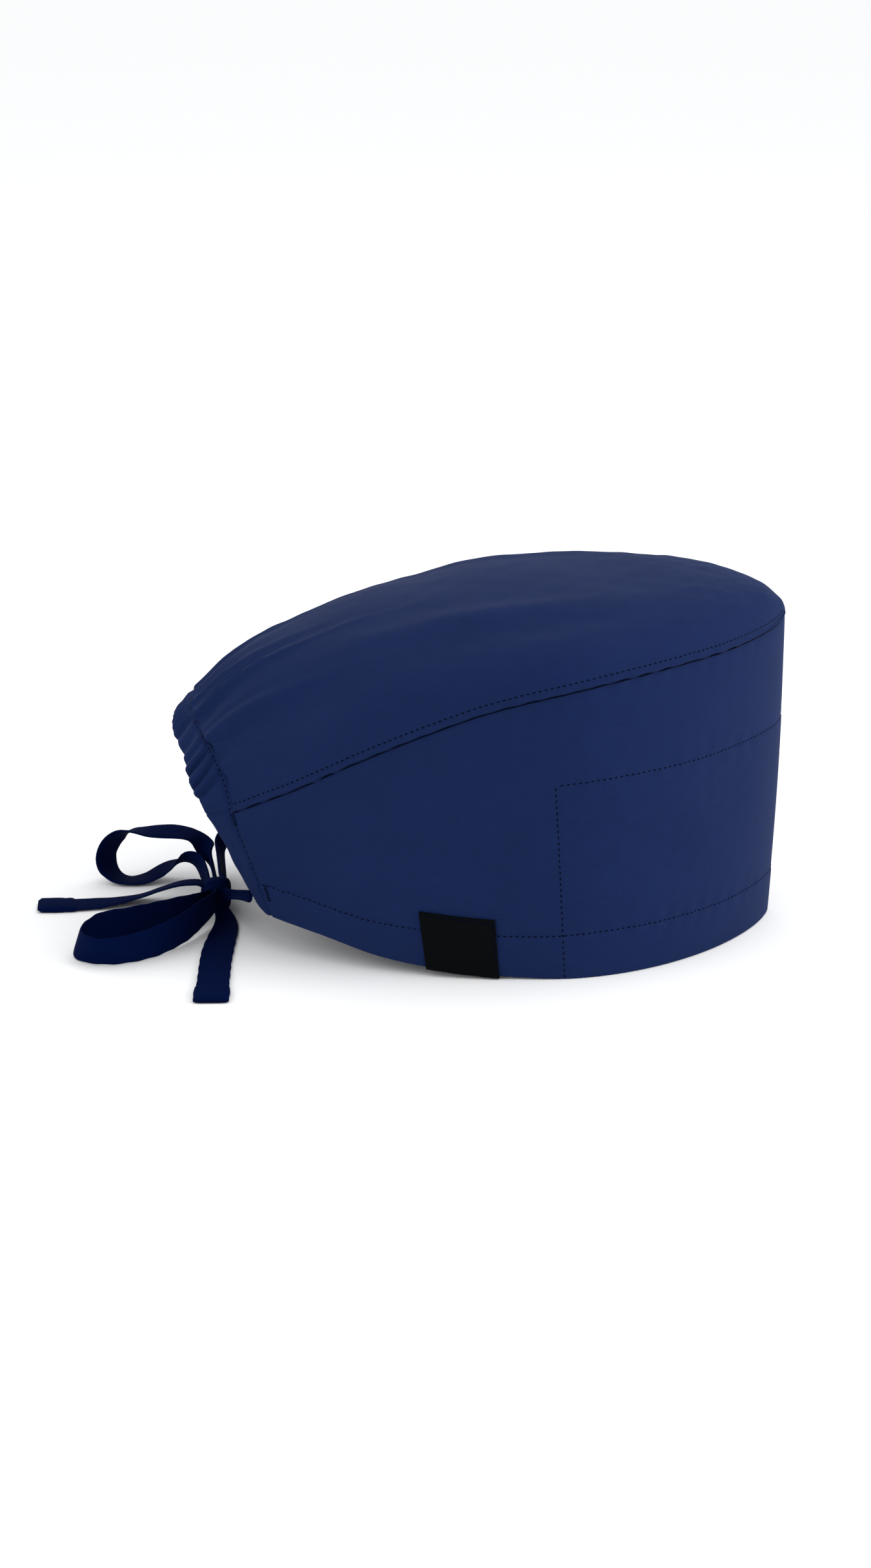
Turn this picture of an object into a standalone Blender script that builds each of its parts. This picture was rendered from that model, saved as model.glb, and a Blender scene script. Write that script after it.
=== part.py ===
"""A cloth scrub cap that stands on its rim, with its two tape ties in a bow on the surface behind it.

Metres, +Z up. The forehead faces +X and the wearer's right side faces -Y. The rim stands on
z = 0, and the origin is under the middle of the cap, ties left out.

The cap is two sheets: a side band that wraps round the head and a domed crown on top of it.
Both run back from the forehead to a gathered casing round the opening at the nape. A place on
them has a share along, 0 at the forehead and 1 at the casing, and only the half at -Y is
worked out: a Mirror gives the other.
"""

from collections import namedtuple

import bpy
import numpy as np

# Plan of the rim, measured back from its foremost point
RIM_LENGTH = 0.214
RIM_HALF_WIDTH = 0.089
RIM_WIDEST = 0.100
RIM_BACK_HALF_WIDTH = 0.057
# Plan of the seam between band and crown, which starts a little ahead of the rim
SEAM_LEAN = 0.004
SEAM_LENGTH = 0.234
SEAM_HALF_WIDTH = 0.087
SEAM_WIDEST = 0.104
SEAM_BACK_HALF_WIDTH = 0.056
# Heights
FRONT_HEIGHT = 0.135
SEAM_BACK_HEIGHT = 0.062
RIM_BACK_LIFT = 0.0160
CROWN_RISE = 0.048
CASING_RISE = 0.035
CASING_SETBACK = 0.020
SIDE_BULGE = 0.0025
# Cloth
CLOTH = 0.0010
CLEARANCE = 0.0003
STITCH_GAP = 0.0008
# The hem is a little narrower at the back
HEM_HEIGHT = 0.0205
HEM_BACK_HEIGHT = 0.0156
# The forehead band's upper edge is level at the front and falls towards its end
FOREHEAD_HEIGHT = 0.0884
FOREHEAD_FALL = 0.0048
FOREHEAD_END = 0.512
# Shares along between which the hem narrows
HEM_NARROWING = (0.30, 0.92)
# Height over the hem in which the forehead band comes back to the side band
HEM_EASE = 0.0098
# Casing round the back opening, from its stitch line to its free edge
CASING_WIDTH = 0.0135
CASING_THICKNESS = 0.0036
CASING_STITCHED = 0.0026
CASING_PUFF_SHARE = 0.20
CASING_GATHERS = 6
GATHER_HEIGHT = 0.0007
# Gathers that run from the casing into the crown
CROWN_GATHERS = 4
CROWN_GATHER_HEIGHT = 0.0011
CROWN_GATHER_REACH = 0.08
# Label folded over the hem
LABEL_WIDTH = 0.0305
LABEL_HEIGHT = 0.0250
LABEL_ALONG = 0.672
LABEL_CLOTH = 0.0007
LABEL_GAP = 0.0004
# Tape ties
TAPE_WIDTH = 0.0135
TAPE_THICKNESS = 0.0012
TAPE_HEM = 0.015
TAPE_HEM_THICKNESS = 0.0022
TAPE_STEP = 0.006
KNOT_SIZE = (0.0098, 0.0142, 0.0124)
KNOT_BACK = 0.241
KNOT_HEIGHT = 0.0070
KNOT_SQUARENESS = 0.45

# How the ends of a plan curve turn: the front is a little more pointed than an ellipse
PLAN_FRONT_POWER = 1.9
PLAN_SIDE_POWER = 1.4
PLAN_BACK_POWER = 2.3
# How squarely the crown leaves the seam: 1 is an ellipse
ARCH_POWER = 0.9
# Share along where the crown starts to lean back to the casing
LEAN_START = 0.5
# How far into its rise the side bulge is at the forehead: at 0 the forehead would be straight
BULGE_START = 0.065
# How quickly a bulge, gather or fold fades in from the edge that it ends at: 1 is slow
BULGE_FADE = 0.5
GATHER_FADE = 0.5
GATHER_END_FADE = 0.2
FOLD_FADE = 0.3

# Cross-sections of the cap. rim_lift is a share of RIM_BACK_LIFT, seam_fall of the fall from
# FRONT_HEIGHT to SEAM_BACK_HEIGHT, and crown_rise of CROWN_RISE.
Section = namedtuple("Section", "along rim_lift seam_fall crown_rise")
SECTIONS = (
    Section(0.00, 0.00, 0.00, 0.00),
    Section(0.02, 0.00, 0.01, 0.09),
    Section(0.05, 0.00, 0.03, 0.18),
    Section(0.10, 0.00, 0.04, 0.29),
    Section(0.20, 0.00, 0.06, 0.42),
    Section(0.30, 0.00, 0.08, 0.50),
    Section(0.40, 0.00, 0.12, 0.555),
    Section(0.50, 0.00, 0.19, 0.64),
    Section(0.60, 0.06, 0.29, 0.745),
    Section(0.70, 0.18, 0.44, 0.85),
    Section(0.80, 0.38, 0.62, 0.97),
    Section(0.90, 0.74, 0.82, 0.99),
    Section(0.95, 0.88, 0.91, 0.915),
    Section(1.00, 1.00, 1.00, 0.73),
)

# Soft folds and dents. across is 0 at the seam, 1 at the crown's middle line and below 0 down
# the side band, where -1 is the rim. along_reach and across_reach are shares too, turn tilts
# the fold, and depth is a share of CROWN_RISE, below 0 for a dent.
Fold = namedtuple("Fold", "along across along_reach across_reach turn depth")
FOLDS = (
    Fold(0.62, 0.66, 0.20, 0.07, 0.35, 0.040),
    Fold(0.55, 0.50, 0.16, 0.08, 0.30, -0.025),
    Fold(0.88, 0.38, 0.07, 0.16, 0.00, -0.055),
    Fold(0.80, 0.22, 0.08, 0.14, 0.20, 0.035),
    Fold(0.91, -0.36, 0.06, 0.22, 0.00, -0.050),
    Fold(0.84, -0.55, 0.07, 0.20, 0.30, 0.030),
    Fold(0.42, -0.10, 0.10, 0.08, 0.00, -0.020),
)

# Section of the casing, from its stitches over the outer layer, round the free edge and back
# under the inner one. across is a share of CASING_WIDTH, outer of the puffed outer layer's
# height and inner of CASING_THICKNESS, taken inwards.
Layer = namedtuple("Layer", "across outer inner")
CASING_SECTION = (
    Layer(0.00, 0.0, 0.0),
    Layer(0.25, 0.8, 0.0),
    Layer(0.60, 1.0, 0.0),
    Layer(0.92, 0.4, 0.0),
    Layer(1.00, 0.0, 0.4),
    Layer(0.92, 0.0, 0.8),
    Layer(0.60, 0.0, 1.0),
    Layer(0.25, 0.0, 0.8),
)

# How the casing lies, from the stitch line to its free edge, at places over the opening: -1
# is its lower end, 0 where it passes the seam and 1 the middle. All are shares of CASING_WIDTH.
Spread = namedtuple("Spread", "place back inwards up")
CASING_SPREAD = (
    Spread(-1.0, 0.38, 0.55, 0.16),
    Spread(-0.7, 0.47, 0.60, -0.20),
    Spread(-0.3, 0.66, 0.66, -0.26),
    Spread(0.0, 0.88, 0.42, -0.22),
    Spread(0.2, 1.10, 0.12, -0.32),
    Spread(0.4, 0.96, 0.02, -0.52),
    Spread(0.6, 0.68, 0.06, -0.72),
    Spread(1.0, 0.60, 0.00, -0.76),
)

# Routes of the ties, in millimetres back from the rim's front, towards +Y and up. across is
# the direction of the tape's width, in the same order, and width its share where it is pinched.
Station = namedtuple("Station", "back side up across_back across_side across_up width")
NEAR_LEAD = (
    Station(223.4, -48.6, 22.4, 0.0, 0.3, 0.95, 0.40),
    Station(227.0, -39.5, 19.8, 0.0, 0.3, 0.95, 0.34),
    Station(230.2, -28.5, 16.2, 0.0, 0.3, 0.95, 0.32),
    Station(233.2, -17.0, 12.4, 0.0, 0.3, 0.95, 0.34),
    Station(236.4, -7.9, 9.2, 0.0, 0.3, 0.95, 0.40),
)
LOWER_LOOP = (
    Station(244.0, -7.9, 7.2, 0.1, 0.0, 1.00, 0.60),
    Station(247.6, -16.5, 7.2, 0.1, 0.0, 1.00, 0.85),
    Station(255.3, -23.6, 7.0, 0.0, 0.0, 1.00, 1.00),
    Station(265.0, -30.4, 7.0, 0.0, 0.0, 1.00, 1.00),
    Station(276.0, -37.6, 7.0, 0.0, 0.0, 1.00, 1.00),
    Station(285.6, -43.6, 7.0, 0.1, 0.1, 1.00, 1.00),
    Station(291.4, -49.8, 7.0, -0.2, 0.0, 1.00, 1.00),
    Station(295.2, -57.2, 7.0, -0.3, -0.1, 0.95, 1.00),
    Station(294.4, -65.6, 7.0, -0.25, -0.25, 0.95, 1.00),
    Station(289.0, -72.2, 6.9, -0.1, -0.35, 0.93, 1.00),
    Station(281.6, -74.2, 6.9, 0.0, -0.30, 0.95, 1.00),
    Station(271.6, -69.8, 6.9, 0.0, -0.2, 0.98, 1.00),
    Station(261.0, -59.8, 7.0, 0.0, 0.0, 1.00, 1.00),
    Station(251.4, -45.0, 7.6, 0.0, 0.0, 1.00, 1.00),
    Station(245.4, -31.0, 8.6, 0.0, 0.0, 1.00, 0.90),
    Station(241.4, -19.0, 8.8, 0.0, 0.0, 1.00, 0.72),
    Station(240.2, -7.9, 8.2, 0.0, 0.0, 1.00, 0.55),
)
UPPER_TAIL = (
    Station(247.0, 1.0, 11.0, 0.0, 1.0, 0.00, 0.60),
    Station(252.0, 2.4, 11.2, 0.0, 1.0, -0.10, 0.72),
    Station(258.0, 4.0, 10.0, 0.0, 1.0, -0.15, 0.80),
    Station(266.0, 5.8, 7.0, 0.0, 1.0, -0.20, 0.95),
    Station(275.0, 7.0, 3.4, 0.0, 1.0, -0.20, 1.00),
    Station(285.8, 5.4, 1.7, 0.0, 1.0, -0.10, 1.00),
    Station(295.0, 3.4, 1.2, 0.0, 1.0, 0.00, 1.00),
    Station(304.4, 1.7, 1.2, 0.0, 1.0, 0.0, 1.00),
    Station(312.0, 1.0, 1.3, 0.0, 1.0, 0.0, 1.00),
    Station(319.6, 0.4, 1.4, 0.0, 1.0, 0.0, 1.00),
)
FAR_LEAD = (
    Station(223.4, 48.8, 21.6, 0.2, 0.0, 1.00, 0.55),
    Station(232.0, 50.2, 19.6, 0.2, 0.1, 1.00, 0.60),
    Station(239.4, 48.8, 17.8, 0.3, 0.2, 0.95, 0.60),
    Station(242.2, 42.6, 15.6, 0.5, 0.2, 0.85, 0.54),
    Station(241.4, 33.0, 12.8, 0.5, 0.1, 0.85, 0.48),
    Station(240.2, 22.0, 11.0, 0.5, 0.1, 0.85, 0.45),
    Station(239.2, 12.0, 9.8, 0.4, 0.1, 0.90, 0.44),
    Station(238.2, 7.8, 9.2, 0.2, 0.1, 0.95, 0.42),
)
UPPER_LOOP = (
    Station(241.6, 8.0, 8.2, 0.1, 0.1, 1.00, 0.45),
    Station(243.6, 20.0, 9.8, 0.2, 0.2, 1.00, 0.52),
    Station(245.8, 31.0, 13.2, 0.1, 0.2, 1.00, 0.58),
    Station(249.0, 36.4, 17.4, -0.3, 0.7, 0.60, 0.70),
    Station(254.0, 38.0, 21.4, 0.0, 1.0, 0.20, 0.90),
    Station(261.0, 39.0, 22.8, 0.0, 1.0, 0.14, 1.00),
    Station(268.0, 39.0, 23.0, 0.0, 1.0, 0.14, 1.00),
    Station(275.0, 39.0, 23.0, 0.0, 1.0, 0.00, 1.00),
    Station(281.0, 38.5, 23.4, -0.1, 1.0, -0.20, 1.00),
    Station(286.2, 38.0, 22.0, -0.4, 0.85, -0.40, 1.00),
    Station(290.6, 38.0, 18.0, -0.5, 0.8, -0.40, 1.00),
    Station(293.0, 38.0, 11.8, -0.6, 0.8, -0.25, 1.00),
    Station(291.6, 38.0, 5.4, -0.5, 0.8, -0.15, 1.00),
    Station(287.6, 36.5, 1.8, -0.4, 0.9, -0.10, 1.00),
    Station(281.6, 35.5, 1.0, -0.2, 1.0, -0.05, 1.00),
    Station(275.0, 36.5, 1.8, 0.0, 1.0, 0.05, 1.00),
    Station(269.2, 38.0, 4.4, 0.1, 1.0, 0.12, 1.00),
    Station(264.4, 38.0, 7.0, 0.1, 1.0, 0.00, 1.00),
    Station(259.4, 37.4, 9.4, 0.0, 0.9, -0.25, 1.00),
    Station(254.4, 35.0, 10.4, 0.0, 0.7, -0.65, 1.00),
    Station(249.8, 28.6, 9.8, 0.1, 0.4, -0.90, 0.90),
    Station(246.8, 19.0, 8.2, 0.1, 0.1, -1.00, 0.70),
    Station(244.6, 7.8, 7.0, 0.1, 0.0, -1.00, 0.50),
)
LOWER_TAIL = (
    Station(238.8, -7.8, 2.8, 1.0, 0.0, 0.0, 0.46),
    Station(236.4, -16.0, 1.2, 1.0, 0.0, 0.0, 0.64),
    Station(235.6, -26.0, 0.8, 1.0, 0.0, 0.0, 0.80),
    Station(236.2, -38.0, 0.8, 1.0, 0.0, 0.0, 0.92),
    Station(237.0, -54.0, 0.8, 1.0, 0.0, 0.0, 1.00),
    Station(237.1, -70.0, 0.8, 1.0, 0.0, 0.0, 1.00),
    Station(236.7, -86.0, 1.0, 1.0, 0.0, 0.0, 1.00),
    Station(236.4, -99.0, 1.2, 1.0, 0.0, 0.0, 1.00),
    Station(236.0, -117.4, 1.2, 1.0, 0.0, 0.0, 1.00),
)

# Rows of faces. END_CLOSENESS draws the rows along towards the two ends, and a label column
# is at least LEAST_ROW of a row wide
ALONG_ROWS = 32
END_CLOSENESS = 0.10
LEAST_ROW = 0.2
CROWN_COLUMNS = 15
BAND_COLUMNS = 6
FOREHEAD_COLUMNS = 3
CASING_ROWS = 34
KNOT_LEVELS = 2

# Colour, roughness and metallic value of each material
NAVY_CLOTH = ((0.011, 0.021, 0.085, 1.0), 0.80, 0.0)
DARK_TAPE = ((0.0015, 0.0055, 0.033, 1.0), 0.75, 0.0)
BLACK_LABEL = ((0.005, 0.006, 0.008, 1.0), 0.70, 0.0)


def unit(vectors):
    """Vectors of length one."""
    return vectors / np.linalg.norm(vectors, axis=-1, keepdims=True)


def smooth_through(places, values, at):
    """Values at the places asked for, on a smooth curve through the given ones that never
    overshoots: cubic pieces whose slopes are the harmonic mean of the chords beside them."""
    places = np.asarray(places, float)
    values = np.asarray(values, float)
    gap = np.diff(places)
    chord = np.diff(values) / gap
    slope = np.zeros_like(values)
    both = chord[:-1] * chord[1:] > 0
    slope[1:-1][both] = 2 * chord[:-1][both] * chord[1:][both] / (chord[:-1] + chord[1:])[both]
    slope[0] = chord[0]
    slope[-1] = chord[-1]
    at = np.clip(at, places[0], places[-1])
    k = np.clip(np.searchsorted(places, at, side="right") - 1, 0, len(gap) - 1)
    t = (at - places[k]) / gap[k]
    start = (1 + 2 * t) * (1 - t) ** 2 * values[k] + t * (1 - t) ** 2 * gap[k] * slope[k]
    end = t**2 * (3 - 2 * t) * values[k + 1] - t**2 * (1 - t) * gap[k] * slope[k + 1]
    return start + end


def section_value(name, along):
    """One column of SECTIONS at any share along."""
    return smooth_through(
        [row.along for row in SECTIONS], [getattr(row, name) for row in SECTIONS], along
    )


def plan_curve(length, half_width, widest, back_half_width, along):
    """Distance back and half width at a share of the curve's own length. The front is a
    pointed ellipse as far as the widest place, and the back narrows by a power law."""
    turn = np.linspace(0, np.pi / 2, 200)
    back = widest * (1 - np.cos(turn) ** (2 / PLAN_FRONT_POWER))
    wide = half_width * np.sin(turn) ** (2 / PLAN_SIDE_POWER)
    rest = np.linspace(0, 1, 200)[1:]
    back = np.append(back, widest + (length - widest) * rest)
    narrowing = 1 - rest**PLAN_BACK_POWER
    wide = np.append(wide, back_half_width + (half_width - back_half_width) * narrowing)
    travelled = np.append(0, np.cumsum(np.hypot(np.diff(back), np.diff(wide))))
    share = travelled / travelled[-1]
    return np.interp(along, share, back), np.interp(along, share, wide)


def rim_line(along):
    """Points of the rim's outer face, as distance back, side and height."""
    back, wide = plan_curve(
        RIM_LENGTH, RIM_HALF_WIDTH, RIM_WIDEST, RIM_BACK_HALF_WIDTH, along
    )
    return np.stack([back, -wide, RIM_BACK_LIFT * section_value("rim_lift", along)], -1)


def seam_line(along):
    """Points of the seam between band and crown."""
    back, wide = plan_curve(
        SEAM_LENGTH, SEAM_HALF_WIDTH, SEAM_WIDEST, SEAM_BACK_HALF_WIDTH, along
    )
    fall = (FRONT_HEIGHT - SEAM_BACK_HEIGHT) * section_value("seam_fall", along)
    return np.stack([back - SEAM_LEAN, -wide, FRONT_HEIGHT - fall], -1)


def outward(points):
    """Unit normals of a grid of points, rows along and columns up, that face out of the cap."""
    normal = np.cross(np.gradient(points, axis=0), np.gradient(points, axis=1))
    size = np.linalg.norm(normal, axis=-1, keepdims=True)
    return normal / np.maximum(size, 1e-12)


def fold_height(along, across):
    """How far the soft folds and dents lift the cloth: a tilted bell for each row of FOLDS."""
    height = np.zeros(np.broadcast(along, across).shape)
    for fold in FOLDS:
        forward = (along - fold.along) / fold.along_reach
        sideways = (across - fold.across) / fold.across_reach
        sideways = sideways + fold.turn * forward
        height += fold.depth * CROWN_RISE * np.exp(-(forward**2) - sideways**2)
    return height


def hem_height(along):
    """How far up the turned hem reaches: it narrows from HEM_HEIGHT to HEM_BACK_HEIGHT by a
    smooth step over the back of the side."""
    share = np.clip((along - HEM_NARROWING[0]) / (HEM_NARROWING[1] - HEM_NARROWING[0]), 0, 1)
    return HEM_HEIGHT - (HEM_HEIGHT - HEM_BACK_HEIGHT) * share**2 * (3 - 2 * share)


def forehead_height(along):
    """Height of the forehead band's upper edge: it falls by the cube of the share along."""
    return FOREHEAD_HEIGHT - FOREHEAD_FALL * (along / FOREHEAD_END) ** 3


def band_points(along, up):
    """Outer face of the side band: straight from rim to seam, with a slight bulge."""
    along, up = np.broadcast_arrays(along, up)
    rim = rim_line(along[:, 0])[:, None]
    seam = seam_line(along[:, 0])[:, None]
    points = rim + (seam - rim) * up[..., None]
    fullness = np.sin(np.pi * (BULGE_START + (1 - BULGE_START) * along)) ** BULGE_FADE
    lift = (SIDE_BULGE * fullness + fold_height(along, up - 1)) * np.sin(np.pi * up)
    sideways = outward(points)
    sideways[:, :, 1] *= along > 0
    return points + sideways * lift[..., None]


def crown_points(along, across):
    """Outer face of the crown: an arch from the seam to the middle line at each share along.
    It leaves the seam upright, and near the casing it leans back and has gathers."""
    along, across = np.broadcast_arrays(along, across)
    seam = seam_line(along)
    angle = across * np.pi / 2
    side = seam[..., 1] * np.cos(angle) ** ARCH_POWER
    height = CROWN_RISE * section_value("crown_rise", along)
    up = seam[..., 2] + height * np.sin(angle) ** ARCH_POWER
    lean = np.clip((along - LEAN_START) / (1 - LEAN_START), 0, 1) ** 2
    back = seam[..., 0] + CASING_SETBACK * lean * np.sin(angle) ** 2
    points = np.stack([back, side, up], -1)
    near_casing = np.exp(-(1 - along) / CROWN_GATHER_REACH)
    gathers = np.cos(2 * np.pi * CROWN_GATHERS * across) * np.sin(np.pi * across) ** GATHER_FADE
    lift = CROWN_GATHER_HEIGHT * near_casing * gathers * np.sin(np.pi * along) ** GATHER_END_FADE
    lift = lift + fold_height(along, across) * np.sin(np.pi * across) ** FOLD_FADE
    normal = outward(points)
    normal[:, -1, 1] = 0
    return points + normal * (lift * (along < 1))[..., None]


def stitch_arch(share):
    """The line where crown and band are stitched to the casing, from the rim's back corner
    (0) to the middle of the crown (1), and the share at which it passes the seam."""
    side = np.linalg.norm(seam_line(np.array(1.0)) - rim_line(np.array(1.0)))
    over = np.pi / 2 * np.hypot(SEAM_BACK_HALF_WIDTH, CASING_RISE) / np.sqrt(2)
    turn = side / (side + over)
    low = np.clip(share / turn, 0, 1)[..., None]
    corner = rim_line(np.array(1.0))
    seam_end = seam_line(np.array(1.0))
    angle = np.clip((share - turn) / (1 - turn), 0, 1) * np.pi / 2
    arch = np.stack(
        [
            seam_end[0] + CASING_SETBACK * np.sin(angle) ** 2,
            seam_end[1] * np.cos(angle) ** ARCH_POWER,
            seam_end[2] + CASING_RISE * np.sin(angle) ** ARCH_POWER,
        ],
        -1,
    )
    return np.where(low < 1, corner + (seam_end - corner) * low, arch), turn


def casing_frame(share):
    """The stitch line, the way across the casing to its free edge, the directions out of the
    casing and out of the sheet it is stitched to, and how far over the crown each place is."""
    line, turn = stitch_arch(share)
    place = np.where(share < turn, share / turn - 1, (share - turn) / (1 - turn))
    over = np.clip(place, 0, 1)
    spread = [
        smooth_through(
            [row.place for row in CASING_SPREAD],
            [getattr(row, name) for row in CASING_SPREAD],
            place,
        )
        for name in ("back", "inwards", "up")
    ]
    across = np.stack(spread, -1) * CASING_WIDTH
    ahead = np.gradient(line, axis=0)
    near_end = seam_line(np.array([1 - 1 / ALONG_ROWS, 1.0]))
    sheet = np.tile(near_end[1] - near_end[0], (len(share), 1))
    sheet[:, 1] *= 1 - over
    return line, across, unit(np.cross(across, ahead)), unit(np.cross(sheet, ahead)), over


def casing_points(share):
    """Outer face of the casing: a flat tube carried along the stitch line. Its section runs
    from the stitches over the outer layer, round the free edge and back under the inner one,
    and its outer layer rises and falls in gathers over the crown."""
    line, across, out, sheet_out, over = casing_frame(share)
    puff = CASING_THICKNESS * CASING_PUFF_SHARE
    wave = -np.cos(2 * np.pi * CASING_GATHERS * over) * np.clip(over * CASING_GATHERS, 0, 1)
    outer = puff + GATHER_HEIGHT * wave
    rows = [
        line
        + across * part.across
        + out * (part.outer * outer - part.inner * CASING_THICKNESS)[:, None]
        for part in CASING_SECTION
    ]
    points = np.stack(rows + [line - sheet_out * CASING_STITCHED], 1)
    points[-1, :, 1] = 0
    return points


def middle_back():
    """Distance from the rim's front to under the middle of the cap."""
    casing = casing_points(np.linspace(0, 1, CASING_ROWS + 1))
    return (casing[..., 0].max() - SEAM_LEAN) / 2


MIDDLE = middle_back()


def placed(points):
    """Turns distance back from the rim's front into the cap's own frame."""
    moved = np.array(points, float)
    moved[..., 0] = MIDDLE - moved[..., 0]
    return moved


def material(name, look):
    """A Principled material of one colour."""
    colour, roughness, metallic = look
    made = bpy.data.materials.new(name)
    made.use_nodes = True
    shader = made.node_tree.nodes["Principled BSDF"]
    shader.inputs["Base Color"].default_value = colour
    shader.inputs["Roughness"].default_value = roughness
    shader.inputs["Metallic"].default_value = metallic
    made.diffuse_color = colour
    return made


def add_object(name, mesh, look, collection):
    """A new object of this mesh with its own smooth-shaded material."""
    made = bpy.data.objects.new(name, mesh)
    mesh.materials.append(material(name, look))
    mesh.shade_smooth()
    mesh.set_sharp_from_angle(angle=np.radians(40))
    collection.objects.link(made)
    return made


def sheet_mesh(name, points, closed=False, pole=False):
    """A sheet of four-sided faces over a grid of points in rows. closed joins the last column
    to the first, and pole makes the first row one point."""
    rows, columns = points.shape[:2]
    number = np.arange(rows * columns).reshape(rows, columns)
    if pole:
        number[0] = number[0, 0]
    if closed:
        number = np.append(number, number[:, :1], axis=1)
    corners = [number[:-1, :-1], number[:-1, 1:], number[1:, 1:], number[1:, :-1]]
    faces = np.stack(corners, -1).reshape(-1, 4)
    kept = [list(dict.fromkeys(face)) for face in faces.tolist()]
    used = sorted({corner for face in kept for corner in face})
    renumber = {corner: place for place, corner in enumerate(used)}
    mesh = bpy.data.meshes.new(name)
    mesh.from_pydata(
        placed(points).reshape(-1, 3)[used].tolist(),
        [],
        [[renumber[corner] for corner in face] for face in kept],
    )
    mesh.validate()
    return mesh


def add_mirror(made):
    """The other half of a piece, joined at the middle line."""
    mirror = made.modifiers.new("Other side", "MIRROR")
    mirror.use_axis = (False, True, False)
    mirror.merge_threshold = 0.0001


def add_wall(made, thickness, offset=-1.0):
    """Thickness for a sheet, inwards from its outer face."""
    wall = made.modifiers.new("Cloth", "SOLIDIFY")
    wall.thickness = thickness
    wall.offset = offset
    wall.use_even_offset = True
    wall.use_quality_normals = True
    return wall


def along_shares():
    """Shares along at which the sheets have their rows, closer at the two ends."""
    even = np.linspace(0, 1, ALONG_ROWS + 1)
    return even - END_CLOSENESS * np.sin(2 * np.pi * even) / np.pi


def add_crown(collection):
    """The top panel. Its back edge stops short of the casing by the clearance."""
    along = along_shares()[:, None]
    across = np.linspace(0, 1, CROWN_COLUMNS + 1)[None, :]
    points = crown_points(along, across)
    points[-1] -= unit(points[-1] - points[-2]) * STITCH_GAP
    points[:, -1, 1] = 0
    made = add_object("crown", sheet_mesh("crown", points, pole=True), NAVY_CLOTH, collection)
    add_mirror(made)
    add_wall(made, CLOTH)


def band_grid():
    """The side band's outer face as it is modelled: rows along, columns from rim to seam."""
    return band_points(along_shares()[:, None], np.linspace(0, 1, BAND_COLUMNS + 1)[None, :])


def on_band(along, height):
    """Points on the side band's flat faces at shares along and heights over the rim."""
    grid = band_grid()
    along, height = np.broadcast_arrays(along, height)
    tall = seam_line(along)[..., 2] - rim_line(along)[..., 2]
    row = np.interp(along, along_shares(), np.arange(ALONG_ROWS + 1))
    column = np.clip(height / tall, 0, 1) * BAND_COLUMNS
    r = np.minimum(row.astype(int), ALONG_ROWS - 1)
    c = np.minimum(column.astype(int), BAND_COLUMNS - 1)
    past_row = (row - r)[..., None]
    past_column = (column - c)[..., None]
    low = grid[r, c] * (1 - past_column) + grid[r, c + 1] * past_column
    high = grid[r + 1, c] * (1 - past_column) + grid[r + 1, c + 1] * past_column
    return low * (1 - past_row) + high * past_row


def inward(foot):
    """Level unit directions into the cap from a row of points along its rim."""
    ahead = np.gradient(foot, axis=0)
    direction = unit(np.stack([-ahead[:, 1], ahead[:, 0], np.zeros(len(foot))], -1))
    direction[foot[:, 1] == 0] = (1, 0, 0)
    return direction


def add_side_band(collection):
    """The side panel, with its hem turned up inside. The sheet runs from the seam down the
    outer face, across under the rim and up inside as far as the hem reaches."""
    outer = band_grid()[:, ::-1]
    outer[:, 0] -= unit(outer[:, 0] - outer[:, 1]) * CLEARANCE
    outer[-1] -= unit(outer[-1] - outer[-2]) * STITCH_GAP
    turned = inward(outer[:, -1])[:, None] * (2 * CLOTH + CLEARANCE)
    shares = along_shares()[:, None]
    leaf = on_band(shares, hem_height(shares) * np.array([[0, 1]])) + turned
    points = np.concatenate([outer, leaf], axis=1)
    points[0, :, 1] = 0
    made = add_object("side_band", sheet_mesh("side_band", points[:, ::-1]), NAVY_CLOTH, collection)
    add_mirror(made)
    add_wall(made, CLOTH)


def add_forehead_band(collection):
    """The inner forehead band. It lies inside the hem at its foot and against the side band
    above it."""
    shares = along_shares()
    along = np.append(shares[shares < FOREHEAD_END], FOREHEAD_END)[:, None]
    over_hem = HEM_HEIGHT + 4 * CLEARANCE
    rise = np.linspace(0, 1, FOREHEAD_COLUMNS)[None, :]
    eased = HEM_HEIGHT + HEM_EASE
    heights = np.concatenate(
        [
            np.broadcast_to((2 * CLEARANCE, over_hem), (len(along), 2)),
            eased + (forehead_height(along) - eased) * rise,
        ],
        axis=1,
    )
    steps = np.full(heights.shape[1], CLOTH + 2 * CLEARANCE)
    steps[:2] = 2 * CLOTH + 3 * CLEARANCE
    outer = on_band(along, heights)
    points = outer - outward(outer) * steps[None, :, None]
    points[0, :, 1] = 0
    mesh = sheet_mesh("forehead_band", points)
    made = add_object("forehead_band", mesh, NAVY_CLOTH, collection)
    add_mirror(made)
    add_wall(made, CLOTH)


def add_back_casing(collection):
    """The gathered casing: a flat hollow tube, open at its two lower ends."""
    points = casing_points(np.linspace(0, 1, CASING_ROWS + 1))
    mesh = sheet_mesh("back_casing", points[:, ::-1], closed=True)
    made = add_object("back_casing", mesh, NAVY_CLOTH, collection)
    add_mirror(made)
    add_wall(made, CLOTH)


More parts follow.
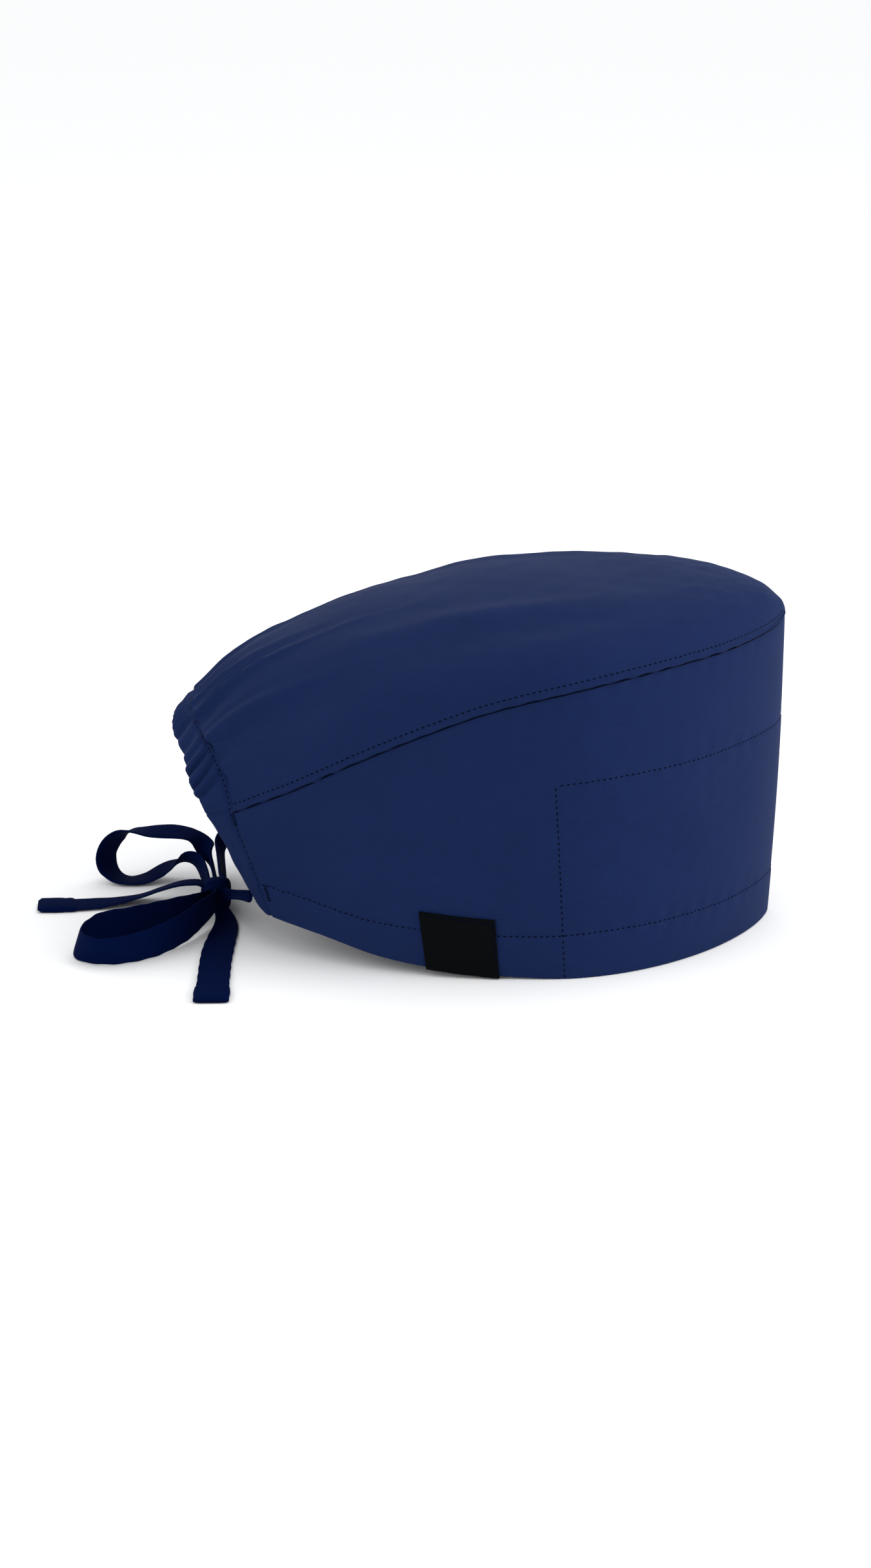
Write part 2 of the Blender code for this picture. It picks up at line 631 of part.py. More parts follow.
def add_hem_label(collection):
    """The label: one strip folded under the rim, with a leaf outside and a leaf inside."""
    rim = rim_line(along_shares())
    rim_reach = np.linalg.norm(np.diff(rim, axis=0), axis=1).sum()
    start, end = LABEL_ALONG + np.array((-0.5, 0.5)) * LABEL_WIDTH / rim_reach
    shares = along_shares()
    least = LEAST_ROW / ALONG_ROWS
    inside = (shares > start + least) & (shares < end - least)
    along = np.concatenate([[start], shares[inside], [end]])
    foot, middle, top = np.moveaxis(
        on_band(along[:, None], np.array([[0, LABEL_HEIGHT / 2, LABEL_HEIGHT]])), 1, 0
    )
    out = -inward(foot)
    drop = np.array((0, 0, LABEL_GAP + LABEL_CLOTH))
    stand = out * (LABEL_GAP + LABEL_CLOTH)
    depth = out * (2 * CLOTH + CLEARANCE + LABEL_GAP + LABEL_CLOTH)
    leaves = [
        top + stand,
        middle + stand,
        foot + stand - drop,
        foot - depth - drop,
        middle - depth,
        top - depth,
    ]
    mesh = sheet_mesh("hem_label", np.stack(leaves, 1)[:, ::-1])
    add_wall(add_object("hem_label", mesh, BLACK_LABEL, collection), LABEL_CLOTH)


def smooth_route(route, step):
    """Stations on one smooth curve through the route's own, about a step apart: each stretch
    is a cubic whose end slopes follow the stations on both sides."""
    rows = np.array(route, float)
    rows[:, :3] /= 1000
    before = np.vstack([2 * rows[0] - rows[1], rows, 2 * rows[-1] - rows[-2]])
    made = []
    for k in range(len(rows) - 1):
        p, q, r, s = before[k : k + 4]
        count = max(1, int(np.ceil(np.linalg.norm((r - q)[:3]) / step)))
        t = (np.arange(count) / count)[:, None]
        curve = 2 * q + (r - p) * t + (2 * p - 5 * q + 4 * r - s) * t**2
        made.append((curve + (3 * q - p - 3 * r + s) * t**3) / 2)
    return np.vstack(made + [rows[-1:]])


def tape_points(route):
    """The two edges of a tape along its route: the middle, half a width each way across."""
    rows = smooth_route(route, TAPE_STEP)
    middle = rows[:, :3]
    ahead = unit(np.gradient(middle, axis=0))
    across = rows[:, 3:6]
    across = unit(across - ahead * np.sum(across * ahead, axis=-1, keepdims=True))
    half = across * (rows[:, 6:7] * TAPE_WIDTH / 2)
    return np.stack([middle - half, middle + half], 1)


def add_tape(name, route, collection, hem=False):
    """A stretch of tape. A hemmed end is thicker over the length of its turned hem."""
    points = tape_points(route)
    made = add_object(name, sheet_mesh(name, points), DARK_TAPE, collection)
    if not hem:
        add_wall(made, TAPE_THICKNESS, offset=0.0)
        return
    wall = add_wall(made, TAPE_HEM_THICKNESS, offset=0.0)
    group = made.vertex_groups.new(name="hem")
    middle = points.mean(axis=1)
    left = np.linalg.norm(middle - middle[-1], axis=-1)
    turned = [2 * k + edge for k in np.flatnonzero(left < TAPE_HEM).tolist() for edge in (0, 1)]
    group.add(turned, 1.0, "REPLACE")
    wall.vertex_group = group.name
    wall.thickness_vertex_group = TAPE_THICKNESS / TAPE_HEM_THICKNESS


def add_bow_knot(collection):
    """The knot: a rounded lump, pinched round its middle."""
    bpy.ops.mesh.primitive_cube_add(size=1)
    made = bpy.context.object
    made.name = "bow_knot"
    made.data.name = "bow_knot"
    cage = np.array([vertex.co for vertex in made.data.vertices])
    cage = cage * np.array(KNOT_SIZE)
    middle = placed(np.array([[KNOT_BACK, 0, KNOT_HEIGHT]]))[0]
    made.data.vertices.foreach_set("co", (cage + middle).ravel())
    crease = made.data.attributes.new("crease_edge", "FLOAT", "EDGE")
    crease.data.foreach_set("value", np.full(len(made.data.edges), KNOT_SQUARENESS))
    made.data.materials.append(material("bow_knot", DARK_TAPE))
    made.data.shade_smooth()
    rounding = made.modifiers.new("Rounding", "SUBSURF")
    rounding.levels = KNOT_LEVELS
    rounding.render_levels = KNOT_LEVELS
    for old in made.users_collection:
        old.objects.unlink(made)
    collection.objects.link(made)


def clear_scene():
    """Removes the objects that the scene starts with."""
    for old in list(bpy.data.objects):
        bpy.data.objects.remove(old)


def main():
    clear_scene()
    collection = bpy.data.collections.new("scrub_cap")
    bpy.context.scene.collection.children.link(collection)
    add_crown(collection)
    add_side_band(collection)
    add_forehead_band(collection)
    add_back_casing(collection)
    add_hem_label(collection)
    add_tape("near_lead", NEAR_LEAD, collection)
    add_tape("far_lead", FAR_LEAD, collection)
    add_bow_knot(collection)
    add_tape("upper_loop", UPPER_LOOP, collection)
    add_tape("lower_loop", LOWER_LOOP, collection)
    add_tape("upper_tail", UPPER_TAIL, collection, hem=True)
    add_tape("lower_tail", LOWER_TAIL, collection, hem=True)


main()
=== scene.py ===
"""Work cap: the dressed model of a cloth surgical cap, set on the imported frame.

It is laid out as an add-on and run as a script. Every piece is a surface worked out with numpy
from the sizes below, in metres, +Z up, with the forehead to +X. A place on the cap has a share
along, 0 at the forehead and 1 at the casing of the back opening.
"""

from collections import namedtuple

import bpy
import numpy as np
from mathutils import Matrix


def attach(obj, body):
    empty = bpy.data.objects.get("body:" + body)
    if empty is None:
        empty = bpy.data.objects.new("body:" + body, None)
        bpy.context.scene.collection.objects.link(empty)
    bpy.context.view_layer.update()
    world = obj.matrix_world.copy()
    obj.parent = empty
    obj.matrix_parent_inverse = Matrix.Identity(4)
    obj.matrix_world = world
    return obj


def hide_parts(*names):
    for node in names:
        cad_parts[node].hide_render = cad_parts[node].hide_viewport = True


bl_info = {
    "name": "Work cap",
    "version": (1, 0, 0),
    "blender": (4, 5, 0),
    "location": "View3D > Sidebar > Work cap",
    "description": "Dresses the packed cloth cap: panels, casing, label, ties, stitches and stage",
    "category": "Add Mesh",
}

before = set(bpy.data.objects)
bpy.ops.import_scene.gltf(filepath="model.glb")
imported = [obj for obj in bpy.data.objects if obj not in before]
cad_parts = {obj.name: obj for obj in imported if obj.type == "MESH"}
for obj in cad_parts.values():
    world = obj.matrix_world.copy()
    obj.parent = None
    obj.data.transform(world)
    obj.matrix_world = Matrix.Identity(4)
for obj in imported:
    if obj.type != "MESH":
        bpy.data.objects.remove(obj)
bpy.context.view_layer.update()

# Plan of the rim, measured back from its foremost point
RIM_LENGTH = 0.214
RIM_HALF_WIDTH = 0.089
RIM_WIDEST = 0.100
RIM_BACK_HALF_WIDTH = 0.057
# Plan of the seam between band and crown, which starts a little ahead of the rim
SEAM_LEAN = 0.004
SEAM_LENGTH = 0.234
SEAM_HALF_WIDTH = 0.087
SEAM_WIDEST = 0.104
SEAM_BACK_HALF_WIDTH = 0.056
# Heights
FRONT_HEIGHT = 0.135
SEAM_BACK_HEIGHT = 0.062
RIM_BACK_LIFT = 0.0160
CROWN_RISE = 0.048
CASING_RISE = 0.035
CASING_SETBACK = 0.020
SIDE_BULGE = 0.0025
# Cloth
CLOTH = 0.0010
CLEARANCE = 0.0003
# The hem is a little narrower at the back
HEM_HEIGHT = 0.0205
HEM_BACK_HEIGHT = 0.0156
# The forehead band's upper edge is level at the front and falls towards its end
FOREHEAD_HEIGHT = 0.0884
FOREHEAD_FALL = 0.0048
FOREHEAD_END = 0.512
# Shares along between which the hem narrows
HEM_NARROWING = (0.30, 0.92)
# Casing round the back opening, from its stitch line to its free edge
CASING_WIDTH = 0.0135
CASING_THICKNESS = 0.0036
CASING_STITCHED = 0.0026
CASING_PUFF_SHARE = 0.20
# Gathers that run from the casing into the crown
CROWN_GATHERS = 4
CROWN_GATHER_HEIGHT = 0.0011
CROWN_GATHER_REACH = 0.08
# Label folded over the hem
LABEL_WIDTH = 0.0305
LABEL_HEIGHT = 0.0250
LABEL_ALONG = 0.672
LABEL_CLOTH = 0.0007
LABEL_GAP = 0.0004
# Tape ties
TAPE_WIDTH = 0.0135
TAPE_THICKNESS = 0.0012
TAPE_HEM = 0.015
TAPE_HEM_THICKNESS = 0.0022
KNOT_SIZE = (0.0098, 0.0142, 0.0124)
KNOT_BACK = 0.241
KNOT_HEIGHT = 0.0070
# How much fuller the soft knot is than its solid, from its middle each way
KNOT_FULLNESS = (0.0017, 0.0, 0.0011)

# How the ends of a plan curve turn: the front is a little more pointed than an ellipse
PLAN_FRONT_POWER = 1.9
PLAN_SIDE_POWER = 1.4
PLAN_BACK_POWER = 2.3
# How squarely the crown leaves the seam: 1 is an ellipse
ARCH_POWER = 0.9
# Share along where the crown starts to lean back to the casing
LEAN_START = 0.5
# How far into its rise the side bulge is at the forehead: at 0 the forehead would be straight
BULGE_START = 0.065
# How quickly a bulge, gather or fold fades in from the edge that it ends at: 1 is slow
BULGE_FADE = 0.5
GATHER_FADE = 0.5
GATHER_END_FADE = 0.2
FOLD_FADE = 0.3

# Cross-sections of the cap. rim_lift is a share of RIM_BACK_LIFT, seam_fall of the fall from
# FRONT_HEIGHT to SEAM_BACK_HEIGHT, and crown_rise of CROWN_RISE.
Section = namedtuple("Section", "along rim_lift seam_fall crown_rise")
SECTIONS = (
    Section(0.00, 0.00, 0.00, 0.00),
    Section(0.02, 0.00, 0.01, 0.09),
    Section(0.05, 0.00, 0.03, 0.18),
    Section(0.10, 0.00, 0.04, 0.29),
    Section(0.20, 0.00, 0.06, 0.42),
    Section(0.30, 0.00, 0.08, 0.50),
    Section(0.40, 0.00, 0.12, 0.555),
    Section(0.50, 0.00, 0.19, 0.64),
    Section(0.60, 0.06, 0.29, 0.745),
    Section(0.70, 0.18, 0.44, 0.85),
    Section(0.80, 0.38, 0.62, 0.97),
    Section(0.90, 0.74, 0.82, 0.99),
    Section(0.95, 0.88, 0.91, 0.915),
    Section(1.00, 1.00, 1.00, 0.73),
)

# Soft folds and dents. across is 0 at the seam, 1 at the crown's middle line and below 0 down
# the side band, where -1 is the rim. along_reach and across_reach are shares too, turn tilts
# the fold, and depth is a share of CROWN_RISE, below 0 for a dent.
Fold = namedtuple("Fold", "along across along_reach across_reach turn depth")
FOLDS = (
    Fold(0.62, 0.66, 0.20, 0.07, 0.35, 0.040),
    Fold(0.55, 0.50, 0.16, 0.08, 0.30, -0.025),
    Fold(0.88, 0.38, 0.07, 0.16, 0.00, -0.055),
    Fold(0.80, 0.22, 0.08, 0.14, 0.20, 0.035),
    Fold(0.91, -0.36, 0.06, 0.22, 0.00, -0.050),
    Fold(0.84, -0.55, 0.07, 0.20, 0.30, 0.030),
    Fold(0.42, -0.10, 0.10, 0.08, 0.00, -0.020),
)

# How the casing lies, from the stitch line to its free edge, at places over the opening: -1
# is its lower end, 0 where it passes the seam and 1 the middle. All are shares of CASING_WIDTH.
Spread = namedtuple("Spread", "place back inwards up")
CASING_SPREAD = (
    Spread(-1.0, 0.38, 0.55, 0.16),
    Spread(-0.7, 0.47, 0.60, -0.20),
    Spread(-0.3, 0.66, 0.66, -0.26),
    Spread(0.0, 0.88, 0.42, -0.22),
    Spread(0.2, 1.10, 0.12, -0.32),
    Spread(0.4, 0.96, 0.02, -0.52),
    Spread(0.6, 0.68, 0.06, -0.72),
    Spread(1.0, 0.60, 0.00, -0.76),
)

# Routes of the ties, in millimetres back from the rim's front, towards +Y and up. across is
# the direction of the tape's width, in the same order, and width its share where it is pinched.
Station = namedtuple("Station", "back side up across_back across_side across_up width")
NEAR_LEAD = (
    Station(223.4, -48.6, 22.4, 0.0, 0.3, 0.95, 0.40),
    Station(227.0, -39.5, 19.8, 0.0, 0.3, 0.95, 0.34),
    Station(230.2, -28.5, 16.2, 0.0, 0.3, 0.95, 0.32),
    Station(233.2, -17.0, 12.4, 0.0, 0.3, 0.95, 0.34),
    Station(236.4, -7.9, 9.2, 0.0, 0.3, 0.95, 0.40),
)
LOWER_LOOP = (
    Station(244.0, -7.9, 7.2, 0.1, 0.0, 1.00, 0.60),
    Station(247.6, -16.5, 7.2, 0.1, 0.0, 1.00, 0.85),
    Station(255.3, -23.6, 7.0, 0.0, 0.0, 1.00, 1.00),
    Station(265.0, -30.4, 7.0, 0.0, 0.0, 1.00, 1.00),
    Station(276.0, -37.6, 7.0, 0.0, 0.0, 1.00, 1.00),
    Station(285.6, -43.6, 7.0, 0.1, 0.1, 1.00, 1.00),
    Station(291.4, -49.8, 7.0, -0.2, 0.0, 1.00, 1.00),
    Station(295.2, -57.2, 7.0, -0.3, -0.1, 0.95, 1.00),
    Station(294.4, -65.6, 7.0, -0.25, -0.25, 0.95, 1.00),
    Station(289.0, -72.2, 6.9, -0.1, -0.35, 0.93, 1.00),
    Station(281.6, -74.2, 6.9, 0.0, -0.30, 0.95, 1.00),
    Station(271.6, -69.8, 6.9, 0.0, -0.2, 0.98, 1.00),
    Station(261.0, -59.8, 7.0, 0.0, 0.0, 1.00, 1.00),
    Station(251.4, -45.0, 7.6, 0.0, 0.0, 1.00, 1.00),
    Station(245.4, -31.0, 8.6, 0.0, 0.0, 1.00, 0.90),
    Station(241.4, -19.0, 8.8, 0.0, 0.0, 1.00, 0.72),
    Station(240.2, -7.9, 8.2, 0.0, 0.0, 1.00, 0.55),
)
UPPER_TAIL = (
    Station(247.0, 1.0, 11.0, 0.0, 1.0, 0.00, 0.60),
    Station(252.0, 2.4, 11.2, 0.0, 1.0, -0.10, 0.72),
    Station(258.0, 4.0, 10.0, 0.0, 1.0, -0.15, 0.80),
    Station(266.0, 5.8, 7.0, 0.0, 1.0, -0.20, 0.95),
    Station(275.0, 7.0, 3.4, 0.0, 1.0, -0.20, 1.00),
    Station(285.8, 5.4, 1.7, 0.0, 1.0, -0.10, 1.00),
    Station(295.0, 3.4, 1.2, 0.0, 1.0, 0.00, 1.00),
    Station(304.4, 1.7, 1.2, 0.0, 1.0, 0.0, 1.00),
    Station(312.0, 1.0, 1.3, 0.0, 1.0, 0.0, 1.00),
    Station(319.6, 0.4, 1.4, 0.0, 1.0, 0.0, 1.00),
)
FAR_LEAD = (
    Station(223.4, 48.8, 21.6, 0.2, 0.0, 1.00, 0.55),
    Station(232.0, 50.2, 19.6, 0.2, 0.1, 1.00, 0.60),
    Station(239.4, 48.8, 17.8, 0.3, 0.2, 0.95, 0.60),
    Station(242.2, 42.6, 15.6, 0.5, 0.2, 0.85, 0.54),
    Station(241.4, 33.0, 12.8, 0.5, 0.1, 0.85, 0.48),
    Station(240.2, 22.0, 11.0, 0.5, 0.1, 0.85, 0.45),
    Station(239.2, 12.0, 9.8, 0.4, 0.1, 0.90, 0.44),
    Station(238.2, 7.8, 9.2, 0.2, 0.1, 0.95, 0.42),
)
UPPER_LOOP = (
    Station(241.6, 8.0, 8.2, 0.1, 0.1, 1.00, 0.45),
    Station(243.6, 20.0, 9.8, 0.2, 0.2, 1.00, 0.52),
    Station(245.8, 31.0, 13.2, 0.1, 0.2, 1.00, 0.58),
    Station(249.0, 36.4, 17.4, -0.3, 0.7, 0.60, 0.70),
    Station(254.0, 38.0, 21.4, 0.0, 1.0, 0.20, 0.90),
    Station(261.0, 39.0, 22.8, 0.0, 1.0, 0.14, 1.00),
    Station(268.0, 39.0, 23.0, 0.0, 1.0, 0.14, 1.00),
    Station(275.0, 39.0, 23.0, 0.0, 1.0, 0.00, 1.00),
    Station(281.0, 38.5, 23.4, -0.1, 1.0, -0.20, 1.00),
    Station(286.2, 38.0, 22.0, -0.4, 0.85, -0.40, 1.00),
    Station(290.6, 38.0, 18.0, -0.5, 0.8, -0.40, 1.00),
    Station(293.0, 38.0, 11.8, -0.6, 0.8, -0.25, 1.00),
    Station(291.6, 38.0, 5.4, -0.5, 0.8, -0.15, 1.00),
    Station(287.6, 36.5, 1.8, -0.4, 0.9, -0.10, 1.00),
    Station(281.6, 35.5, 1.0, -0.2, 1.0, -0.05, 1.00),
    Station(275.0, 36.5, 1.8, 0.0, 1.0, 0.05, 1.00),
    Station(269.2, 38.0, 4.4, 0.1, 1.0, 0.12, 1.00),
    Station(264.4, 38.0, 7.0, 0.1, 1.0, 0.00, 1.00),
    Station(259.4, 37.4, 9.4, 0.0, 0.9, -0.25, 1.00),
    Station(254.4, 35.0, 10.4, 0.0, 0.7, -0.65, 1.00),
    Station(249.8, 28.6, 9.8, 0.1, 0.4, -0.90, 0.90),
    Station(246.8, 19.0, 8.2, 0.1, 0.1, -1.00, 0.70),
    Station(244.6, 7.8, 7.0, 0.1, 0.0, -1.00, 0.50),
)
LOWER_TAIL = (
    Station(238.8, -7.8, 2.8, 1.0, 0.0, 0.0, 0.46),
    Station(236.4, -16.0, 1.2, 1.0, 0.0, 0.0, 0.64),
    Station(235.6, -26.0, 0.8, 1.0, 0.0, 0.0, 0.80),
    Station(236.2, -38.0, 0.8, 1.0, 0.0, 0.0, 0.92),
    Station(237.0, -54.0, 0.8, 1.0, 0.0, 0.0, 1.00),
    Station(237.1, -70.0, 0.8, 1.0, 0.0, 0.0, 1.00),
    Station(236.7, -86.0, 1.0, 1.0, 0.0, 0.0, 1.00),
    Station(236.4, -99.0, 1.2, 1.0, 0.0, 0.0, 1.00),
    Station(236.0, -117.4, 1.2, 1.0, 0.0, 0.0, 1.00),
)


def unit(vectors):
    """Vectors of length one."""
    return vectors / np.linalg.norm(vectors, axis=-1, keepdims=True)


def smooth_through(places, values, at):
    """Values at the places asked for, on a smooth curve through the given ones that never
    overshoots: cubic pieces whose slopes are the harmonic mean of the chords beside them."""
    places = np.asarray(places, float)
    values = np.asarray(values, float)
    gap = np.diff(places)
    chord = np.diff(values) / gap
    slope = np.zeros_like(values)
    both = chord[:-1] * chord[1:] > 0
    slope[1:-1][both] = 2 * chord[:-1][both] * chord[1:][both] / (chord[:-1] + chord[1:])[both]
    slope[0] = chord[0]
    slope[-1] = chord[-1]
    at = np.clip(at, places[0], places[-1])
    k = np.clip(np.searchsorted(places, at, side="right") - 1, 0, len(gap) - 1)
    t = (at - places[k]) / gap[k]
    start = (1 + 2 * t) * (1 - t) ** 2 * values[k] + t * (1 - t) ** 2 * gap[k] * slope[k]
    end = t**2 * (3 - 2 * t) * values[k + 1] - t**2 * (1 - t) * gap[k] * slope[k + 1]
    return start + end


def section_value(name, along):
    """One column of SECTIONS at any share along."""
    return smooth_through(
        [row.along for row in SECTIONS], [getattr(row, name) for row in SECTIONS], along
    )


def plan_curve(length, half_width, widest, back_half_width, along):
    """Distance back and half width at a share of the curve's own length. The front is a
    pointed ellipse as far as the widest place, and the back narrows by a power law."""
    turn = np.linspace(0, np.pi / 2, 200)
    back = widest * (1 - np.cos(turn) ** (2 / PLAN_FRONT_POWER))
    wide = half_width * np.sin(turn) ** (2 / PLAN_SIDE_POWER)
    rest = np.linspace(0, 1, 200)[1:]
    back = np.append(back, widest + (length - widest) * rest)
    narrowing = 1 - rest**PLAN_BACK_POWER
    wide = np.append(wide, back_half_width + (half_width - back_half_width) * narrowing)
    travelled = np.append(0, np.cumsum(np.hypot(np.diff(back), np.diff(wide))))
    share = travelled / travelled[-1]
    return np.interp(along, share, back), np.interp(along, share, wide)


def rim_line(along):
    """Points of the rim's outer face, as distance back, side and height."""
    back, wide = plan_curve(
        RIM_LENGTH, RIM_HALF_WIDTH, RIM_WIDEST, RIM_BACK_HALF_WIDTH, along
    )
    return np.stack([back, -wide, RIM_BACK_LIFT * section_value("rim_lift", along)], -1)


def seam_line(along):
    """Points of the seam between band and crown."""
    back, wide = plan_curve(
        SEAM_LENGTH, SEAM_HALF_WIDTH, SEAM_WIDEST, SEAM_BACK_HALF_WIDTH, along
    )
    fall = (FRONT_HEIGHT - SEAM_BACK_HEIGHT) * section_value("seam_fall", along)
    return np.stack([back - SEAM_LEAN, -wide, FRONT_HEIGHT - fall], -1)


def fold_height(along, across):
    """How far the soft folds and dents lift the cloth: a tilted bell for each row of FOLDS."""
    height = np.zeros(np.broadcast(along, across).shape)
    for fold in FOLDS:
        forward = (along - fold.along) / fold.along_reach
        sideways = (across - fold.across) / fold.across_reach
        sideways = sideways + fold.turn * forward
        height += fold.depth * CROWN_RISE * np.exp(-(forward**2) - sideways**2)
    return height


def hem_height(along):
    """How far up the turned hem reaches: it narrows from HEM_HEIGHT to HEM_BACK_HEIGHT by a
    smooth step over the back of the side."""
    start, end = HEM_NARROWING
    narrowed = smooth_step((along - start) / (end - start))
    return HEM_HEIGHT - (HEM_HEIGHT - HEM_BACK_HEIGHT) * narrowed


def forehead_height(along):
    """Height of the forehead band's upper edge: it falls by the cube of the share along."""
    return FOREHEAD_HEIGHT - FOREHEAD_FALL * (along / FOREHEAD_END) ** 3


def band_points(along, up):
    """Outer face of the side band: straight from rim to seam, with a slight bulge."""
    along, up = np.broadcast_arrays(along, up)
    rim = rim_line(along[:, 0])[:, None]
    seam = seam_line(along[:, 0])[:, None]
    points = rim + (seam - rim) * up[..., None]
    fullness = np.sin(np.pi * (BULGE_START + (1 - BULGE_START) * along)) ** BULGE_FADE
    lift = (SIDE_BULGE * fullness + fold_height(along, up - 1)) * np.sin(np.pi * up)
    sideways = face_normals(points)
    sideways[:, :, 1] *= along > 0
    return points + sideways * lift[..., None]


def crown_points(along, across):
    """Outer face of the crown: an arch from the seam to the middle line at each share along.
    It leaves the seam upright, and near the casing it leans back and has gathers."""
    along, across = np.broadcast_arrays(along, across)
    seam = seam_line(along)
    angle = across * np.pi / 2
    side = seam[..., 1] * np.cos(angle) ** ARCH_POWER
    height = CROWN_RISE * section_value("crown_rise", along)
    up = seam[..., 2] + height * np.sin(angle) ** ARCH_POWER
    lean = np.clip((along - LEAN_START) / (1 - LEAN_START), 0, 1) ** 2
    back = seam[..., 0] + CASING_SETBACK * lean * np.sin(angle) ** 2
    points = np.stack([back, side, up], -1)
    near_casing = np.exp(-(1 - along) / CROWN_GATHER_REACH)
    gathers = np.cos(2 * np.pi * CROWN_GATHERS * across) * np.sin(np.pi * across) ** GATHER_FADE
    lift = CROWN_GATHER_HEIGHT * near_casing * gathers * np.sin(np.pi * along) ** GATHER_END_FADE
    lift = lift + fold_height(along, across) * np.sin(np.pi * across) ** FOLD_FADE
    normal = face_normals(points)
    normal[:, -1, 1] = 0
    return points + normal * (lift * (along < 1))[..., None]


def stitch_arch(share):
    """The line where crown and band are stitched to the casing, from the rim's back corner
    (0) to the middle of the crown (1), and the share at which it passes the seam."""
    side = np.linalg.norm(seam_line(np.array(1.0)) - rim_line(np.array(1.0)))
    over = np.pi / 2 * np.hypot(SEAM_BACK_HALF_WIDTH, CASING_RISE) / np.sqrt(2)
    turn = side / (side + over)
    low = np.clip(share / turn, 0, 1)[..., None]
    corner = rim_line(np.array(1.0))
    seam_end = seam_line(np.array(1.0))
    angle = np.clip((share - turn) / (1 - turn), 0, 1) * np.pi / 2
    arch = np.stack(
        [
            seam_end[0] + CASING_SETBACK * np.sin(angle) ** 2,
            seam_end[1] * np.cos(angle) ** ARCH_POWER,
            seam_end[2] + CASING_RISE * np.sin(angle) ** ARCH_POWER,
        ],
        -1,
    )
    return np.where(low < 1, corner + (seam_end - corner) * low, arch), turn


def place_over(share, turn):
    """Place over the opening for a share of the stitch line: -1 at its lower end, 0 where it
    passes the seam at the share turn, and 1 in the middle of the crown."""
    return np.where(share < turn, share / turn - 1, (share - turn) / (1 - turn))


def casing_frame(share):
    """The stitch line, the way across the casing to its free edge, and the directions out of
    the casing and out of the sheet it is stitched to."""
    line, turn = stitch_arch(share)
    place = place_over(share, turn)
    spread = [
        smooth_through(
            [row.place for row in CASING_SPREAD],
            [getattr(row, name) for row in CASING_SPREAD],
            place,
        )
        for name in ("back", "inwards", "up")
    ]
    across = np.stack(spread, -1) * CASING_WIDTH
    ahead = np.gradient(line, axis=0)
    near_end = seam_line(np.array([1 - ALONG_STEP, 1.0]))
    sheet = np.tile(near_end[1] - near_end[0], (len(share), 1))
    sheet[:, 1] *= 1 - np.clip(place, 0, 1)
    return line, across, unit(np.cross(across, ahead)), unit(np.cross(sheet, ahead))


def placed(points):
    """Turns distance back from the rim's front into the cap's own frame."""
    moved = np.array(points, float)
    moved[..., 0] = MIDDLE - moved[..., 0]
    return moved


# Distance from the rim's front to under the middle of the cap, where the frame has its origin
MIDDLE = 0.126864
# Turns a place on the near half into the same place on the far one, and the way up
MIRROR = np.array((1, -1, 1))
UP = np.array((0, 0, 1))
# Step along the seam that gives the band's direction where the casing is stitched to it
ALONG_STEP = 1 / 32

# Rows and columns of the surfaces
CROWN_ROWS = 150
BAND_ROWS = 170
CASING_TURNS = 700
FOREHEAD_ROWS = 80
TAPE_SPACING = 0.0018
# Places along the stitch arch at which the casing's directions are worked out
FRAME_PLACES = 400
# Places along and steps up the plain wall on which points are found
WALL_PLACES = 400
WALL_STEPS = 60
# Rounding of cloth edges at a seam, and how near a panel comes to the next one
EDGE_ROUND = 0.0004
SEAM_SHY = 0.00012
# Length of the crown and the band from front to casing, half the way round the crown, and the
# narrower way round it that its slow unevenness is measured on
CROWN_LENGTH = 0.27
BAND_LENGTH = 0.28
CROWN_HALF_GIRTH = 0.13
CROWN_SPREAD = 0.1
# Relief of the doubled cloth at the hem and over the inner forehead band
HEM_RELIEF = 0.00028
FOREHEAD_RELIEF = 0.00022

# Small relief of the cloth: its height, and how far it reaches in metres, or as a share along
# for END_GROOVE and over the opening for CROSSING
Relief = namedtuple("Relief", "height reach")
CROWN_PUCKER = Relief(0.00034, 0.007)
SEAM_ROLL = Relief(0.00070, 0.0024)
TOPSTITCH_GROOVE = Relief(0.00040, 0.0006)
HEM_PUCKER = Relief(0.00022, 0.005)
BROW_PUCKER = Relief(0.00018, 0.006)
SEAM_PUCKER = Relief(0.00026, 0.008)
SEAM_SINK = Relief(0.00080, 0.0012)
HEM_GROOVE = Relief(0.00035, 0.0006)
BROW_GROOVE = Relief(0.00030, 0.0006)
END_GROOVE = Relief(0.00030, 0.0022)
CASING_GROOVE = Relief(0.00085, 0.0009)
CROSSING = Relief(0.00080, 0.010)
TAPE_GROOVE = Relief(0.0005, 0.0006)
# Puckers of the crown from front to casing, distance between the band's, and how far they waver
CROWN_PUCKERS = 27
CROWN_PUCKER_WAVER = 0.3
BAND_PUCKER_PITCH = 0.0105
BAND_PUCKER_WAVER = 0.4
# Slow unevenness of the cloth: its height, the length of its waves and its seed
Uneven = namedtuple("Uneven", "height waves seed")
CROWN_UNEVEN = (Uneven(0.00045, 0.06, 11), Uneven(0.00018, 0.014, 12))
BAND_UNEVEN = (Uneven(0.0008, 0.055, 21), Uneven(0.00018, 0.013, 22))
CASING_UNEVEN = (Uneven(0.00025, 0.012, 31),)
LABEL_UNEVEN = (Uneven(0.00018, 0.012, 41),)

# Distances in from the seam: the roll of the crown's edge and its topstitching
SEAM_ROLL_PLACE = 0.0016
TOPSTITCH = 0.0037
